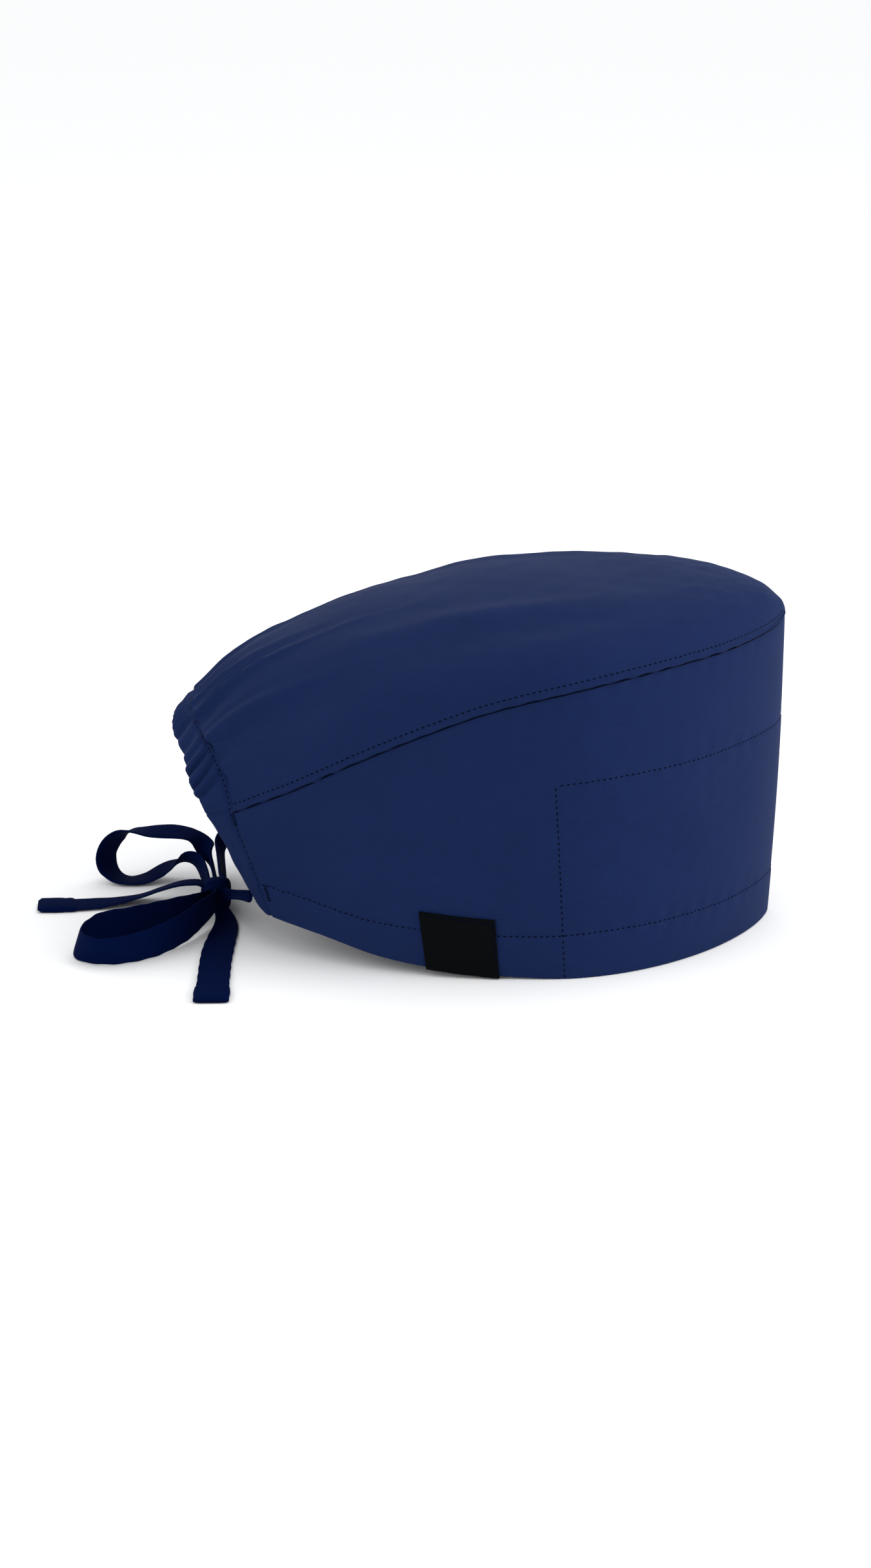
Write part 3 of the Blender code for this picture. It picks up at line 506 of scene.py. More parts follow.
# Section of the casing at nine corners round it, from its seam over the outer layer to the free
# edge and back below: share of its width, and how far it stands out from the stitch line
CASING_PUFF = CASING_THICKNESS * CASING_PUFF_SHARE
CASING_ACROSS = (0, 0.25, 0.6, 0.92, 1, 0.92, 0.6, 0.25, 0)
CASING_STAND = (
    0,
    CASING_PUFF * 0.8,
    CASING_PUFF,
    CASING_PUFF * 0.4,
    -0.4 * CASING_THICKNESS,
    CASING_PUFF - CASING_THICKNESS,
    -CASING_THICKNESS,
    CASING_PUFF - CASING_THICKNESS,
    -CASING_STITCHED,
)
# Share of a cloth layer's thickness that the gathered casing's wall has
CASING_WALL_SHARE = 0.8
# Distance across the casing from its seam to the groove of its stitches, and the column of its
# surface, counted from the seam, that the stitches follow
CASING_GROOVE_PLACE = 0.0012
CASING_STITCH_COLUMN = 1.9
# How far the cloth between the casing's gathers sinks, in mm
GATHERS_SINK = 0.30
# The close seam that joins the crown to the side band, whose dark thread also paints the shade of
# the crevice under the crown's edge: its pitch, its place below the edge, and how proud of the
# cloth it stands
SEAM_SHADE_THREAD_PITCH = 0.0014
SEAM_SHADE_THREAD_DROP = 0.0007
SEAM_SHADE_THREAD_PROUD = 0.0003
# The short tacks by the casing: share along, step between the two in rows, and pitch
TACK_ALONG = 0.991
TACK_STEP = 0.7
TACK_PITCH = 0.0012
# How far the ends of a stitch dip into the cloth, as a share of its thread
STITCH_DIP = 0.8
# How deep a valley of the crown may be where the casing closes over it, and how fast that grows
# with the share in front of the casing
VALLEY_AT_CASING = 0.0001
VALLEY_GROWTH = 0.055
# Share round the crown, from the seam in, over which its pleats fade in
PLEAT_CLEAR = 1 / 12
# The hem's fold: rows round it, how flat it is, the parts of the hem's height at which its
# inner leaf has rows, and the height over which the band is raised to keep it off the floor
HEM_BENDS = 5
HEM_FLATNESS = 0.45
HEM_LEAF_PARTS = (0.15, 0.5, 1.0)
HEM_LIFT_REACH = 0.006
# Label: how far it stands out from the plain wall, its lowest place, the distance in from its
# edge to its stitches, and the share of its width, from its middle, that they reach
LABEL_STAND = LABEL_GAP + LABEL_CLOTH + HEM_RELIEF
LABEL_LOWEST = 0.0002
LABEL_MARGIN = 0.0012
LABEL_SEWN = 0.47
SATIN_PITCH = 0.00045
# How far a panel's edge runs on under the next piece, and how deep it lies there
TUCK_REACH = 0.0016
TUCK_DEPTH = 0.0009
SEAM_ALLOWANCE = 0.0030
# Tape: how matt it is, the unevenness of its edges, and at its end the rise to the doubled hem,
# the hem's fullness, its stitched groove, and the rounding of its corners and its edge
TAPE_ROUGHNESS = 0.75
TAPE_RAGGED = 0.018
TAPE_RAGGED_TURNS = 620
TAPE_HEM_STEP = 0.0012
TAPE_HEM_WIDER = 0.10
TAPE_HEM_THICKER = 0.35
TAPE_GROOVE_PLACE = TAPE_HEM * 0.84
TAPE_CORNER = 0.0024
TAPE_CORNER_CUT = 0.16
TAPE_END_ROUND = 0.0011
# Where the tape is pinched it has furrows along it, is cupped and is thicker
PINCH_FURROW = 0.25
PINCH_CUP = 0.0011
PINCH_THICKER = 0.6
# Lobes and waists of the wound knot, as shares of its radius
KNOT_LOBE = 0.05
KNOT_WAIST = 0.16
# The station at which each tie passes through the knot
KNOT_PASS = Station(KNOT_BACK * 1000, 0.0, KNOT_HEIGHT * 1000, 0.0, 0.0, 1.0, 0.42)

# Fine pleats that fan out of the casing over the crown: where round the crown (0 at the near
# seam, 1 in the middle, 2 at the far seam), half width there, reach along, drift and height in mm
Pleat = namedtuple("Pleat", "around width reach drift height")
PLEATS = (
    Pleat(0.160, 0.040, 0.05, 0.10, 0.58),
    Pleat(0.300, 0.034, 0.05, 0.16, 1.30),
    Pleat(0.430, 0.036, 0.10, 0.10, -1.60),
    Pleat(0.530, 0.032, 0.14, -0.05, 1.90),
    Pleat(0.600, 0.026, 0.07, 0.20, 1.01),
    Pleat(0.670, 0.020, 0.07, 0.40, -1.01),
    Pleat(0.725, 0.018, 0.16, 0.40, 2.60),
    Pleat(0.800, 0.022, 0.10, 0.30, -2.30),
    Pleat(0.885, 0.018, 0.11, 0.02, 1.80),
    Pleat(0.945, 0.014, 0.07, 0.00, -1.30),
    Pleat(1.000, 0.016, 0.08, 0.00, 1.45),
    Pleat(1.060, 0.014, 0.06, -0.05, -1.16),
    Pleat(1.120, 0.016, 0.12, -0.10, 1.89),
    Pleat(1.200, 0.020, 0.08, -0.25, -1.59),
    Pleat(1.280, 0.018, 0.15, -0.40, 2.03),
    Pleat(1.360, 0.026, 0.07, -0.20, -1.01),
    Pleat(1.460, 0.030, 0.10, -0.05, 1.30),
    Pleat(1.570, 0.032, 0.08, 0.05, -1.30),
    Pleat(1.700, 0.036, 0.06, -0.12, 1.16),
    Pleat(1.840, 0.040, 0.05, -0.10, 0.58),
)
# Gathers of the casing: place over the opening, 0 at the near seam, 1 in the middle and 2 at
# the far seam, half width there, slant across the casing, and height in mm
Gather = namedtuple("Gather", "place width slant height")
GATHERS = (
    Gather(0.100, 0.040, 0.050, 0.60),
    Gather(0.204, 0.017, 0.082, -1.50),
    Gather(0.252, 0.026, 0.090, 1.40),
    Gather(0.305, 0.017, 0.097, -1.60),
    Gather(0.360, 0.028, 0.080, 1.50),
    Gather(0.414, 0.017, 0.060, -1.60),
    Gather(0.458, 0.026, 0.050, 1.50),
    Gather(0.510, 0.022, 0.040, -0.70),
    Gather(0.556, 0.024, 0.030, 0.90),
    Gather(0.612, 0.024, 0.030, -0.60),
    Gather(0.675, 0.034, 0.020, 0.80),
    Gather(0.742, 0.016, 0.015, -1.10),
    Gather(0.778, 0.012, 0.020, 1.30),
    Gather(0.815, 0.010, 0.018, 0.90),
    Gather(0.850, 0.011, 0.015, 1.10),
    Gather(0.884, 0.010, 0.012, 0.90),
    Gather(0.920, 0.011, 0.008, 1.10),
    Gather(0.955, 0.010, 0.004, 0.90),
    Gather(0.990, 0.011, 0.000, 1.10),
    Gather(1.045, 0.011, -0.000, 1.10),
    Gather(1.082, 0.010, -0.004, 0.90),
    Gather(1.115, 0.011, -0.008, 1.10),
    Gather(1.150, 0.010, -0.012, 0.90),
    Gather(1.187, 0.011, -0.015, 1.10),
    Gather(1.220, 0.010, -0.018, 0.90),
    Gather(1.258, 0.012, -0.020, 1.30),
    Gather(1.278, 0.016, -0.015, -1.10),
    Gather(1.335, 0.034, -0.020, 0.80),
    Gather(1.388, 0.024, -0.030, -0.60),
    Gather(1.456, 0.024, -0.030, 0.90),
    Gather(1.498, 0.022, -0.040, -0.70),
    Gather(1.532, 0.026, -0.050, 1.50),
    Gather(1.598, 0.017, -0.060, -1.60),
    Gather(1.640, 0.028, -0.080, 1.50),
    Gather(1.683, 0.017, -0.097, -1.60),
    Gather(1.758, 0.026, -0.090, 1.40),
    Gather(1.786, 0.017, -0.082, -1.50),
    Gather(1.900, 0.040, -0.050, 0.60),
)


def smooth_step(value):
    """0 below 0, 1 above 1 and a smooth rise between."""
    held = np.clip(value, 0, 1)
    return held * held * (3 - 2 * held)


def bell(value):
    """A bump of height 1 at 0 that fades out past 1 either way."""
    return np.exp(-(value**2))


def drift(across, up, scale, seed):
    """Slow random unevenness between about -1 and 1: the mean of a dozen plane waves whose
    directions and phases come from the seed."""
    pick = np.random.RandomState(seed)
    total = np.zeros(np.broadcast(across, up).shape)
    for _ in range(12):
        heading = pick.uniform(0, 2 * np.pi)
        pace = 2 * np.pi / scale * pick.uniform(0.6, 1.6)
        travelled = across * np.cos(heading) + up * np.sin(heading)
        total += np.sin(travelled * pace + pick.uniform(0, 2 * np.pi))
    return total / 5


def edge_fall(distance, radius):
    """How far a rounded cloth edge falls below its face, at a distance in from the edge: a
    quarter circle of that radius."""
    short = radius - np.clip(distance, 0, radius)
    return radius - np.sqrt(np.maximum(radius**2 - short**2, 0))


def face_normals(points):
    """Unit normals of a grid of points, out of the cap where rows run back and columns run
    up the near side."""
    normal = np.cross(np.gradient(points, axis=0), np.gradient(points, axis=1))
    size = np.linalg.norm(normal, axis=-1, keepdims=True)
    return normal / np.maximum(size, 1e-12)


def travelled(points, axis):
    """Distance along each row or column of a grid, from its first point."""
    step = np.linalg.norm(np.diff(points, axis=axis), axis=-1)
    first = np.zeros_like(np.take(step, [0], axis=axis))
    return np.concatenate([first, np.cumsum(step, axis=axis)], axis=axis)


def uneven(rows, across, up):
    """The sum of one drift for each row of unevenness, at places in metres on the cloth."""
    return sum(row.height * drift(across, up, row.waves, row.seed) for row in rows)


def two_sided(half):
    """A grid of the near half and its mirror image joined along the columns. Their shared
    middle column comes once."""
    far = half * MIRROR
    return np.concatenate([half, far[:, ::-1][:, 1:]], axis=1)


def crown_surface(along, across):
    """Outer face of the crown, from the near seam over the middle to the far seam: the arches
    of crown_points, with pleats at the casing, puckers along the seam and slow unevenness."""
    base = two_sided(crown_points(along[:, None], across[None, :]))
    around = np.concatenate([across, 2 - across[::-1][1:]])[None, :]
    share = along[:, None]
    from_seam = np.minimum(around, 2 - around)
    lift = np.zeros(base.shape[:2])
    for pleat in PLEATS:
        line = pleat.around + pleat.drift * (1 - share)
        fade = np.exp(-(((1 - share) / pleat.reach) ** 2))
        lift += pleat.height * fade * bell((around - line) / pleat.width)
    lift *= 0.001 * np.clip(from_seam / PLEAT_CLEAR, 0, 1)
    lift = np.maximum(lift, -VALLEY_AT_CASING - VALLEY_GROWTH * (1 - share))
    in_from_seam = from_seam * CROWN_HALF_GIRTH
    waver = CROWN_PUCKER_WAVER * drift(share, around, 0.3, 5)
    ripple = np.sin(2 * np.pi * (CROWN_PUCKERS * share + waver))
    ripple = ripple * np.exp(-in_from_seam / CROWN_PUCKER.reach)
    lift += CROWN_PUCKER.height * ripple * smooth_step((share - 0.06) / 0.2)
    lift += SEAM_ROLL.height * bell((in_from_seam - SEAM_ROLL_PLACE) / SEAM_ROLL.reach)
    lift -= TOPSTITCH_GROOVE.height * bell((in_from_seam - TOPSTITCH) / TOPSTITCH_GROOVE.reach)
    open_ground = np.sin(np.pi * np.clip(around / 2, 0, 1)) ** 0.5 * smooth_step(share / 0.2)
    lift += uneven(CROWN_UNEVEN, share * CROWN_LENGTH, around * CROWN_SPREAD) * open_ground
    lift -= edge_fall(in_from_seam, EDGE_ROUND)
    lift -= edge_fall((1 - share) * CROWN_LENGTH, EDGE_ROUND)
    normal = face_normals(base)
    normal[0] = (-1, 0, 0)
    return base + normal * (lift * smooth_step(share / 0.02))[..., None]


def band_surface(along, up):
    """Outer face of the side band, one half: the ruled wall of band_points, raised a little
    over the hem and the forehead band, with small puckers along the stitched lines."""
    share = along[:, None]
    base = band_points(share, up[None, :])
    height = travelled(base, 1)
    below_seam = height[:, -1:] - height
    back = travelled(base, 0)
    over_hem = height - hem_height(share)
    over_brow = height - forehead_height(share)
    ahead = share < FOREHEAD_END
    past_end = share - FOREHEAD_END
    lift = HEM_RELIEF * (1 - smooth_step((over_hem + 0.001) / 0.002))
    doubled = 1 - smooth_step((over_brow + 0.0012) / 0.0025)
    lift += FOREHEAD_RELIEF * doubled * (1 - smooth_step(past_end / 0.008))
    waver = BAND_PUCKER_WAVER * drift(share, up[None, :], 0.3, 7)
    pucker = np.sin(2 * np.pi * (back / BAND_PUCKER_PITCH + waver))
    pucker = pucker * smooth_step((share - 0.04) / 0.2)
    lift += HEM_PUCKER.height * pucker * bell(over_hem / HEM_PUCKER.reach)
    lift += BROW_PUCKER.height * pucker * bell(over_brow / BROW_PUCKER.reach) * ahead
    lift += SEAM_PUCKER.height * pucker * np.exp(-below_seam / SEAM_PUCKER.reach)
    lift -= SEAM_SINK.height * np.exp(-below_seam / SEAM_SINK.reach)
    steady = np.sin(np.pi * up[None, :]) * smooth_step((share - 0.05) / 0.25)
    lift += uneven(BAND_UNEVEN, back, height) * steady
    lift -= HEM_GROOVE.height * bell(over_hem / HEM_GROOVE.reach)
    lift -= BROW_GROOVE.height * bell(over_brow / BROW_GROOVE.reach) * ahead
    lift -= END_GROOVE.height * (over_brow < 0) * bell(past_end / END_GROOVE.reach)
    lift -= edge_fall(below_seam, EDGE_ROUND)
    lift -= edge_fall((1 - share) * BAND_LENGTH, EDGE_ROUND)
    normal = face_normals(base)
    normal[0, :, 1] = 0
    return base + normal * lift[..., None], height


def casing_surface(shares):
    """Outer face of the whole casing: a flat section carried over the stitch arch, with
    slanted gathers on the outer layer and a groove where the side seam crosses. A share of
    the arch runs from 0 to 1 on the near side and on to 2 on the far one."""
    half = np.minimum(shares, 2 - shares)
    where = np.linspace(0, 1, FRAME_PLACES)
    line, across, out, sheet_out = (
        np.stack([np.interp(half, where, part[:, k]) for k in range(3)], -1)
        for part in casing_frame(where)
    )
    place = place_over(half, stitch_arch(np.array([0.0]))[1])
    place = np.where(shares > 1, 2 - place, place)
    last = len(CASING_ACROSS) - 1
    spot = np.linspace(0, last, 5 * last + 1)
    share_across = smooth_through(range(last + 1), CASING_ACROSS, spot)
    stand = smooth_through(range(last + 1), CASING_STAND, spot)
    ridge = np.zeros((len(shares), len(spot)))
    for gather in GATHERS:
        centre = gather.place - gather.slant * (share_across[None, :] - 0.5) * 2
        ridge += gather.height * bell((place[:, None] - centre) / gather.width)
    gathered = smooth_step(np.minimum(place + 0.05, 2.05 - place) / 0.15)[:, None]
    outer_layer = np.sin(np.pi * np.clip(spot / 5, 0, 1)) ** 0.6
    from_stitches = share_across * CASING_WIDTH
    lift = 0.001 * (ridge - GATHERS_SINK * gathered) * outer_layer[None, :]
    stitched = bell((from_stitches - CASING_GROOVE_PLACE) / CASING_GROOVE.reach) * (spot < 4)
    lift -= CASING_GROOVE.height * stitched[None, :]
    crossing = bell(place / CROSSING.reach) + bell((place - 2) / CROSSING.reach)
    lift -= CROSSING.height * crossing[:, None] * outer_layer[None, :]
    lift -= edge_fall(from_stitches, EDGE_ROUND)[None, :] * (spot < 4)
    lift += uneven(CASING_UNEVEN, place[:, None] * 0.06, share_across[None, :] * 0.014)
    rise = stand[None, :] + lift
    under = np.clip(spot - 7, 0, 1)[None, :, None]
    facing = unit(out[:, None] * (1 - under) + sheet_out[:, None] * under)
    made = line[:, None] + across[:, None] * share_across[None, :, None] + facing * rise[..., None]
    made[..., 1] *= np.where(shares > 1, -1, 1)[:, None]
    return made


def quads(number):
    """The corners of every face of a numbered grid, row by row."""
    corners = (number[:-1, :-1], number[:-1, 1:], number[1:, 1:], number[1:, :-1])
    return np.stack(corners, -1).reshape(-1, 4)


def smooth_mesh(name, points, faces, uv=None):
    """A smooth mesh from points measured back from the rim's front, with a place on the cloth
    for each corner of its faces."""
    mesh = bpy.data.meshes.new(name)
    mesh.from_pydata(placed(points).reshape(-1, 3).tolist(), [], faces)
    if uv is not None:
        layer = mesh.uv_layers.new(name="weave")
        layer.data.foreach_set("uv", uv.ravel())
    mesh.shade_smooth()
    return mesh


def grid_mesh(name, points, uv, closed=False, pole=False):
    """A mesh over a grid of points, rows by columns, with a UV in metres for the weave. closed
    joins the last column to the first, and pole makes the first row one point, round which the
    faces are triangles."""
    own = np.arange(points[..., 0].size).reshape(points.shape[:2])
    shared = own.copy()
    if pole:
        shared[0] = shared[0, 0]
    if closed:
        own, shared = (np.append(grid, grid[:, :1], axis=1) for grid in (own, shared))
    used, corners = np.unique(quads(shared), return_inverse=True)
    corners = corners.reshape(-1, 4)
    fan = own.shape[1] - 1 if pole else 0
    faces = corners[:fan, [0, 2, 3]].tolist() + corners[fan:].tolist()
    looks = quads(own)
    order = np.append(looks[:fan, [0, 2, 3]], looks[fan:])
    return smooth_mesh(name, points.reshape(-1, 3)[used], faces, uv.reshape(-1, 2)[order])


def add_piece(name, mesh, look, wall=None):
    """Links a mesh as a piece that rides on the cap, with its material and cloth wall, which
    thickens the cloth inwards."""
    made = bpy.data.objects.new(name, mesh)
    bpy.context.scene.collection.objects.link(made)
    mesh.materials.append(look)
    if wall:
        cloth = made.modifiers.new("Cloth", "SOLIDIFY")
        cloth.thickness = wall
        cloth.offset = -1.0
        cloth.use_even_offset = True
        cloth.use_quality_normals = True
    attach(made, "root")
    return made


def at_grid(grid, row, column):
    """Values of a grid between its points, by straight lines both ways."""
    r = np.clip(row.astype(int), 0, grid.shape[0] - 2)
    c = np.clip(column.astype(int), 0, grid.shape[1] - 2)
    past_row = (row - r)[..., None]
    past_column = (column - c)[..., None]
    low = grid[r, c] * (1 - past_column) + grid[r, c + 1] * past_column
    high = grid[r + 1, c] * (1 - past_column) + grid[r + 1, c + 1] * past_column
    return low * (1 - past_row) + high * past_row


def stitches_along(points, row, column, pitch):
    """Middles, directions and normals of a row of stitches that follows a track over a grid."""
    normals = face_normals(points)
    track = at_grid(points, row, column)
    far = travelled(track[None], 1)[0]
    count = max(2, int(far[-1] / pitch))
    at = (np.arange(count) + 0.5) * far[-1] / count
    there = np.interp(at, far, np.arange(len(far)))
    rows = np.interp(there, np.arange(len(far)), row)
    columns = np.interp(there, np.arange(len(far)), column)
    middle = at_grid(points, rows, columns)
    outwards = unit(at_grid(normals, rows, columns))
    tangent = np.stack([np.interp(at, far, np.gradient(track[:, k], far)) for k in range(3)], -1)
    return middle, unit(tangent), outwards


def stitch_mesh(name, groups, length, thread):
    """One mesh of all the stitches: each is a six-sided thread whose ends dip into the cloth,
    five rings long, laid on its middle, direction and normal."""
    spots = np.array((-1.0, -0.72, 0.0, 0.72, 1.0))
    thick = np.array((0.45, 0.9, 1.0, 0.9, 0.45))
    sides = 6
    turn = np.arange(sides) * 2 * np.pi / sides
    ahead = np.repeat(spots * length / 2, sides)
    aside = (thick[:, None] * np.cos(turn)).ravel() * thread / 2
    above = (thick[:, None] * np.sin(turn)).ravel() * thread / 2
    above = above - np.repeat(np.abs(spots) ** 3, sides) * thread * STITCH_DIP
    middle, along, out = (np.concatenate(part) for part in zip(*groups))
    side = unit(np.cross(out, along))
    points = (
        middle[:, None]
        + along[:, None] * ahead[None, :, None]
        + side[:, None] * aside[None, :, None]
        + out[:, None] * above[None, :, None]
    )
    corners = len(ahead)
    number = np.arange(corners).reshape(len(spots), sides)
    walls = quads(np.append(number, number[:, :1], axis=1))[:, [0, 3, 2, 1]]
    ends = np.array([number[0], number[-1, ::-1]])
    start = (np.arange(len(middle)) * corners)[:, None, None]
    faces = (walls[None] + start).reshape(-1, 4).tolist()
    faces += (ends[None] + start).reshape(-1, sides).tolist()
    return smooth_mesh(name, points, faces)


class Wire:
    """A shader socket that takes part in sums. Each operator adds its Math node."""

    def __init__(self, maker, socket):
        self.maker = maker
        self.socket = socket

    def sum(self, operation, first, second=0.0):
        return self.maker.node("ShaderNodeMath", {"operation": operation}, {0: first, 1: second})

    def __add__(self, other):
        return self.sum("ADD", self, other)

    def __radd__(self, other):
        return self.sum("ADD", other, self)

    def __sub__(self, other):
        return self.sum("SUBTRACT", self, other)

    def __rsub__(self, other):
        return self.sum("SUBTRACT", other, self)

    def __mul__(self, other):
        return self.sum("MULTIPLY", self, other)

    def __rmul__(self, other):
        return self.sum("MULTIPLY", other, self)

    def __truediv__(self, other):
        return self.sum("DIVIDE", self, other)

    def __pow__(self, other):
        return self.sum("POWER", self, other)


class Finish:
    """A material in the making: its Principled shader and the nodes that feed it."""

    def __init__(self, name, roughness, gloss, sheen=0.0, sheen_colour=(1, 1, 1)):
        self.material = bpy.data.materials.new(name)
        self.material.use_nodes = True
        self.tree = self.material.node_tree
        self.shader = self.tree.nodes["Principled BSDF"]
        self.set("Roughness", roughness)
        self.set("Specular IOR Level", gloss)
        self.set("Sheen Weight", sheen)
        self.set("Sheen Roughness", 0.45)
        self.set("Sheen Tint", (*sheen_colour, 1.0))

    def set(self, name, value):
        """Sets or links one of the shader's own sockets."""
        if isinstance(value, Wire):
            self.tree.links.new(value.socket, self.shader.inputs[name])
        else:
            self.shader.inputs[name].default_value = value

    def node(self, kind, choices=None, sockets=None, output=0):
        """A node of this kind, with its settings made first and its sockets then set or
        linked. Gives the socket asked for."""
        made = self.tree.nodes.new(kind)
        for name, value in (choices or {}).items():
            setattr(made, name, value)
        for name, value in (sockets or {}).items():
            if isinstance(value, Wire):
                self.tree.links.new(value.socket, made.inputs[name])
            else:
                made.inputs[name].default_value = value
        return Wire(self, made.outputs[output])

    def weave_place(self):
        """Place on the cloth, in metres, from the piece's own UV map."""
        return self.node("ShaderNodeUVMap", {"uv_map": "weave"})

    def part_of(self, vector, axis):
        """One number of a vector."""
        return self.node("ShaderNodeSeparateXYZ", None, {"Vector": vector}, axis)

    def scaled(self, vector, factors):
        """A vector times three factors."""
        return self.node(
            "ShaderNodeVectorMath", {"operation": "MULTIPLY"}, {0: vector, 1: factors}
        )

    def noise(self, vector, scale, detail=2.0, roughness=0.5):
        """Soft noise between 0 and 1."""
        return self.node(
            "ShaderNodeTexNoise",
            None,
            {"Vector": vector, "Scale": scale, "Detail": detail, "Roughness": roughness},
        )

    def wave(self, value, pitch):
        """A sine of a length in metres, between -1 and 1, once every pitch."""
        angle = value * (2 * np.pi / pitch)
        return angle.sum("SINE", angle)

    def blend(self, share, first, second):
        """A colour between two by a share."""
        return self.node(
            "ShaderNodeMix",
            {"data_type": "RGBA", "clamp_factor": True},
            {0: share, 6: first, 7: second},
            2,
        )

    def bump(self, height, strength, distance):
        """Sends a height through a Bump node to the shader."""
        wire = self.node(
            "ShaderNodeBump",
            None,
            {"Height": height, "Strength": strength, "Distance": distance},
        )
        self.set("Normal", wire)


def shades(colour, darker, lighter):
    """Two colours about a middle one, as RGBA."""
    base = np.array(colour)
    return (*(base * darker), 1.0), (*np.clip(base * lighter, 0, 1), 1.0)


def plain_cloth(name, cloth):
    """Plain weave: threads over and under both ways, slubs along them, fine and broad random
    patches of lighter and darker colour, and a faint sheen."""
    look = Finish(name, cloth.roughness, 0.08, sheen=0.02, sheen_colour=(0.45, 0.6, 1.0))
    place = look.weave_place()
    warp = look.wave(look.part_of(place, 0), cloth.pitch)
    weft = look.wave(look.part_of(place, 1), cloth.pitch)
    over = warp * weft * 0.5 + 0.5
    slub = look.noise(look.scaled(place, (900.0, 130.0, 1.0)), 1.0)
    slub_two = look.noise(look.scaled(place, (130.0, 900.0, 1.0)), 1.0)
    mottle = look.noise(look.scaled(place, (60.0, 60.0, 60.0)), 1.0, 4.0, 0.6)
    broad = look.noise(look.scaled(place, (14.0, 14.0, 14.0)), 1.0, 2.0)
    share = over * 0.22 + slub * 0.30 + slub_two * 0.30 + mottle * 0.28 + broad * 0.30 - 0.22
    dark, light = shades(cloth.colour, 0.72, 1.34)
    look.set("Base Color", look.blend(share, dark, light))
    look.set("Roughness", slub * 0.16 + (cloth.roughness - 0.08))
    look.bump(over * 0.6 + slub * 0.5 + slub_two * 0.5 + mottle * 0.5, 0.35, 0.00012)
    return look.material


def tape_cloth(name, tape):
    """Woven tape: fine lines along its length and finer ribs across, with loose fibres and a
    soft mottle."""
    look = Finish(name, TAPE_ROUGHNESS, 0.01)
    place = look.weave_place()
    rib = look.wave(look.part_of(place, 0), tape.pitch)
    line = look.wave(look.part_of(place, 1), tape.pitch * 1.6)
    fibre = look.noise(look.scaled(place, (160.0, 1400.0, 1.0)), 1.0)
    mottle = look.noise(look.scaled(place, (90.0, 90.0, 1.0)), 1.0, 3.0)
    share = line * 0.22 + rib * 0.08 + fibre * 0.45 + mottle * 0.35 + 0.02
    dark, light = shades(tape.colour, 0.70, 1.40)
    look.set("Base Color", look.blend(share, dark, light))
    look.set("Roughness", fibre * 0.14 + (TAPE_ROUGHNESS - 0.07))
    look.bump(line * 0.5 + rib * 0.3 + fibre * 0.5, 0.4, 0.00015)
    return look.material


def label_cloth(name, label):
    """Woven satin: close fine threads across the label, with an even soft gloss."""
    look = Finish(name, 0.62, 0.03)
    place = look.weave_place()
    line = look.wave(look.part_of(place, 1), SATIN_PITCH)
    fibre = look.noise(look.scaled(place, (200.0, 2200.0, 1.0)), 1.0)
    mottle = look.noise(look.scaled(place, (120.0, 120.0, 1.0)), 1.0, 3.0)
    dark, light = shades(label.colour, 0.7, 1.5)
    look.set("Base Color", look.blend(line * 0.2 + fibre * 0.5 + mottle * 0.3, dark, light))
    look.set("Roughness", fibre * 0.12 + 0.56)
    look.bump(line * 0.5 + fibre * 0.5, 0.35, 0.0001)
    return look.material


def thread(name, colour):
    """Spun sewing thread: fine twisted lines round it. Its colour is darker than the cloth's, so
    the stitches also carry painted shade of the needle pits.
    """
    look = Finish(name, 0.6, 0.03)
    place = look.node("ShaderNodeTexCoord", None, None, 3)
    twist = look.noise(look.scaled(place, (1500.0, 1500.0, 1500.0)), 1.0)
    dark, light = shades(colour, 0.7, 1.3)
    look.set("Base Color", look.blend(twist, dark, light))
    look.bump(twist, 0.3, 0.00005)
    return look.material


def floor_finish(name, colour):
    """A pale matt floor with a very faint grain."""
    look = Finish(name, 0.9, 0.10)
    place = look.node("ShaderNodeTexCoord", None, None, 3)
    grain = look.noise(look.scaled(place, (30.0, 30.0, 30.0)), 1.0, 3.0)
    dark, light = shades(colour, 0.995, 1.0)
    look.set("Base Color", look.blend(grain, dark, light))
    return look.material


def crown_grid():
    """The crown's grid and its shares along, whose rows lie closer at the front and at the
    casing, and its columns closer at the seams."""
    front = (0, 0.004, 0.010)
    casing = (0.9885, 0.992, 0.995, 0.9975, 1.0)
    along = np.concatenate([front, np.linspace(0.02, 0.985, CROWN_ROWS), casing])
    across = np.concatenate([0.014 * (np.arange(6) / 6) ** 1.3, np.linspace(0.014, 1, 84)])
    points = crown_surface(along, across)
    points[-1] -= unit(points[-1] - points[-2]) * SEAM_SHY
    return points, along


def band_grid():
    """One half of the side band's grid, its shares along and its heights up from the rim. Its
    rows lie closer at the casing, and its columns at the rim and the seam."""
    along = np.append(np.linspace(0, 0.985, BAND_ROWS), (0.99, 0.994, 0.997, 1.0))
    up = np.concatenate([(0, 0.004), np.linspace(0.009, 0.992, 78), (0.995, 0.9975, 0.999, 1.0)])
    points, height = band_surface(along, up)
    points[-1] -= unit(points[-1] - points[-2]) * SEAM_SHY
    points[:, -1] -= unit(points[:, -1] - points[:, -2]) * SEAM_SHY
    return points, along, height


def whole_wall(along):
    """Points of the side band's plain outer face at shares along, from the rim to the seam."""
    return band_points(along[:, None], np.linspace(0, 1, WALL_STEPS + 1)[None, :])


def on_band(along, level):
    """Points on the side band's outer face and its unit normals, at shares along and at
    distances up from the rim."""
    places = np.linspace(0, 1, WALL_PLACES + 1)
    wall = whole_wall(places)
    along, level = np.broadcast_arrays(along, level)
    tall = np.interp(along, places, travelled(wall, 1)[:, -1])
    row = along * WALL_PLACES
    column = level / tall * WALL_STEPS
    return at_grid(wall, row, column), unit(at_grid(face_normals(wall), row, column))


def under_casing(points, outwards):
    """A panel's grid with one more row at its back, that runs on a little way under the casing."""
    back = unit(points[-1] - points[-2])
    hidden = points[-1] + back * TUCK_REACH - outwards * TUCK_DEPTH
    return np.concatenate([points, hidden[None]], axis=0)


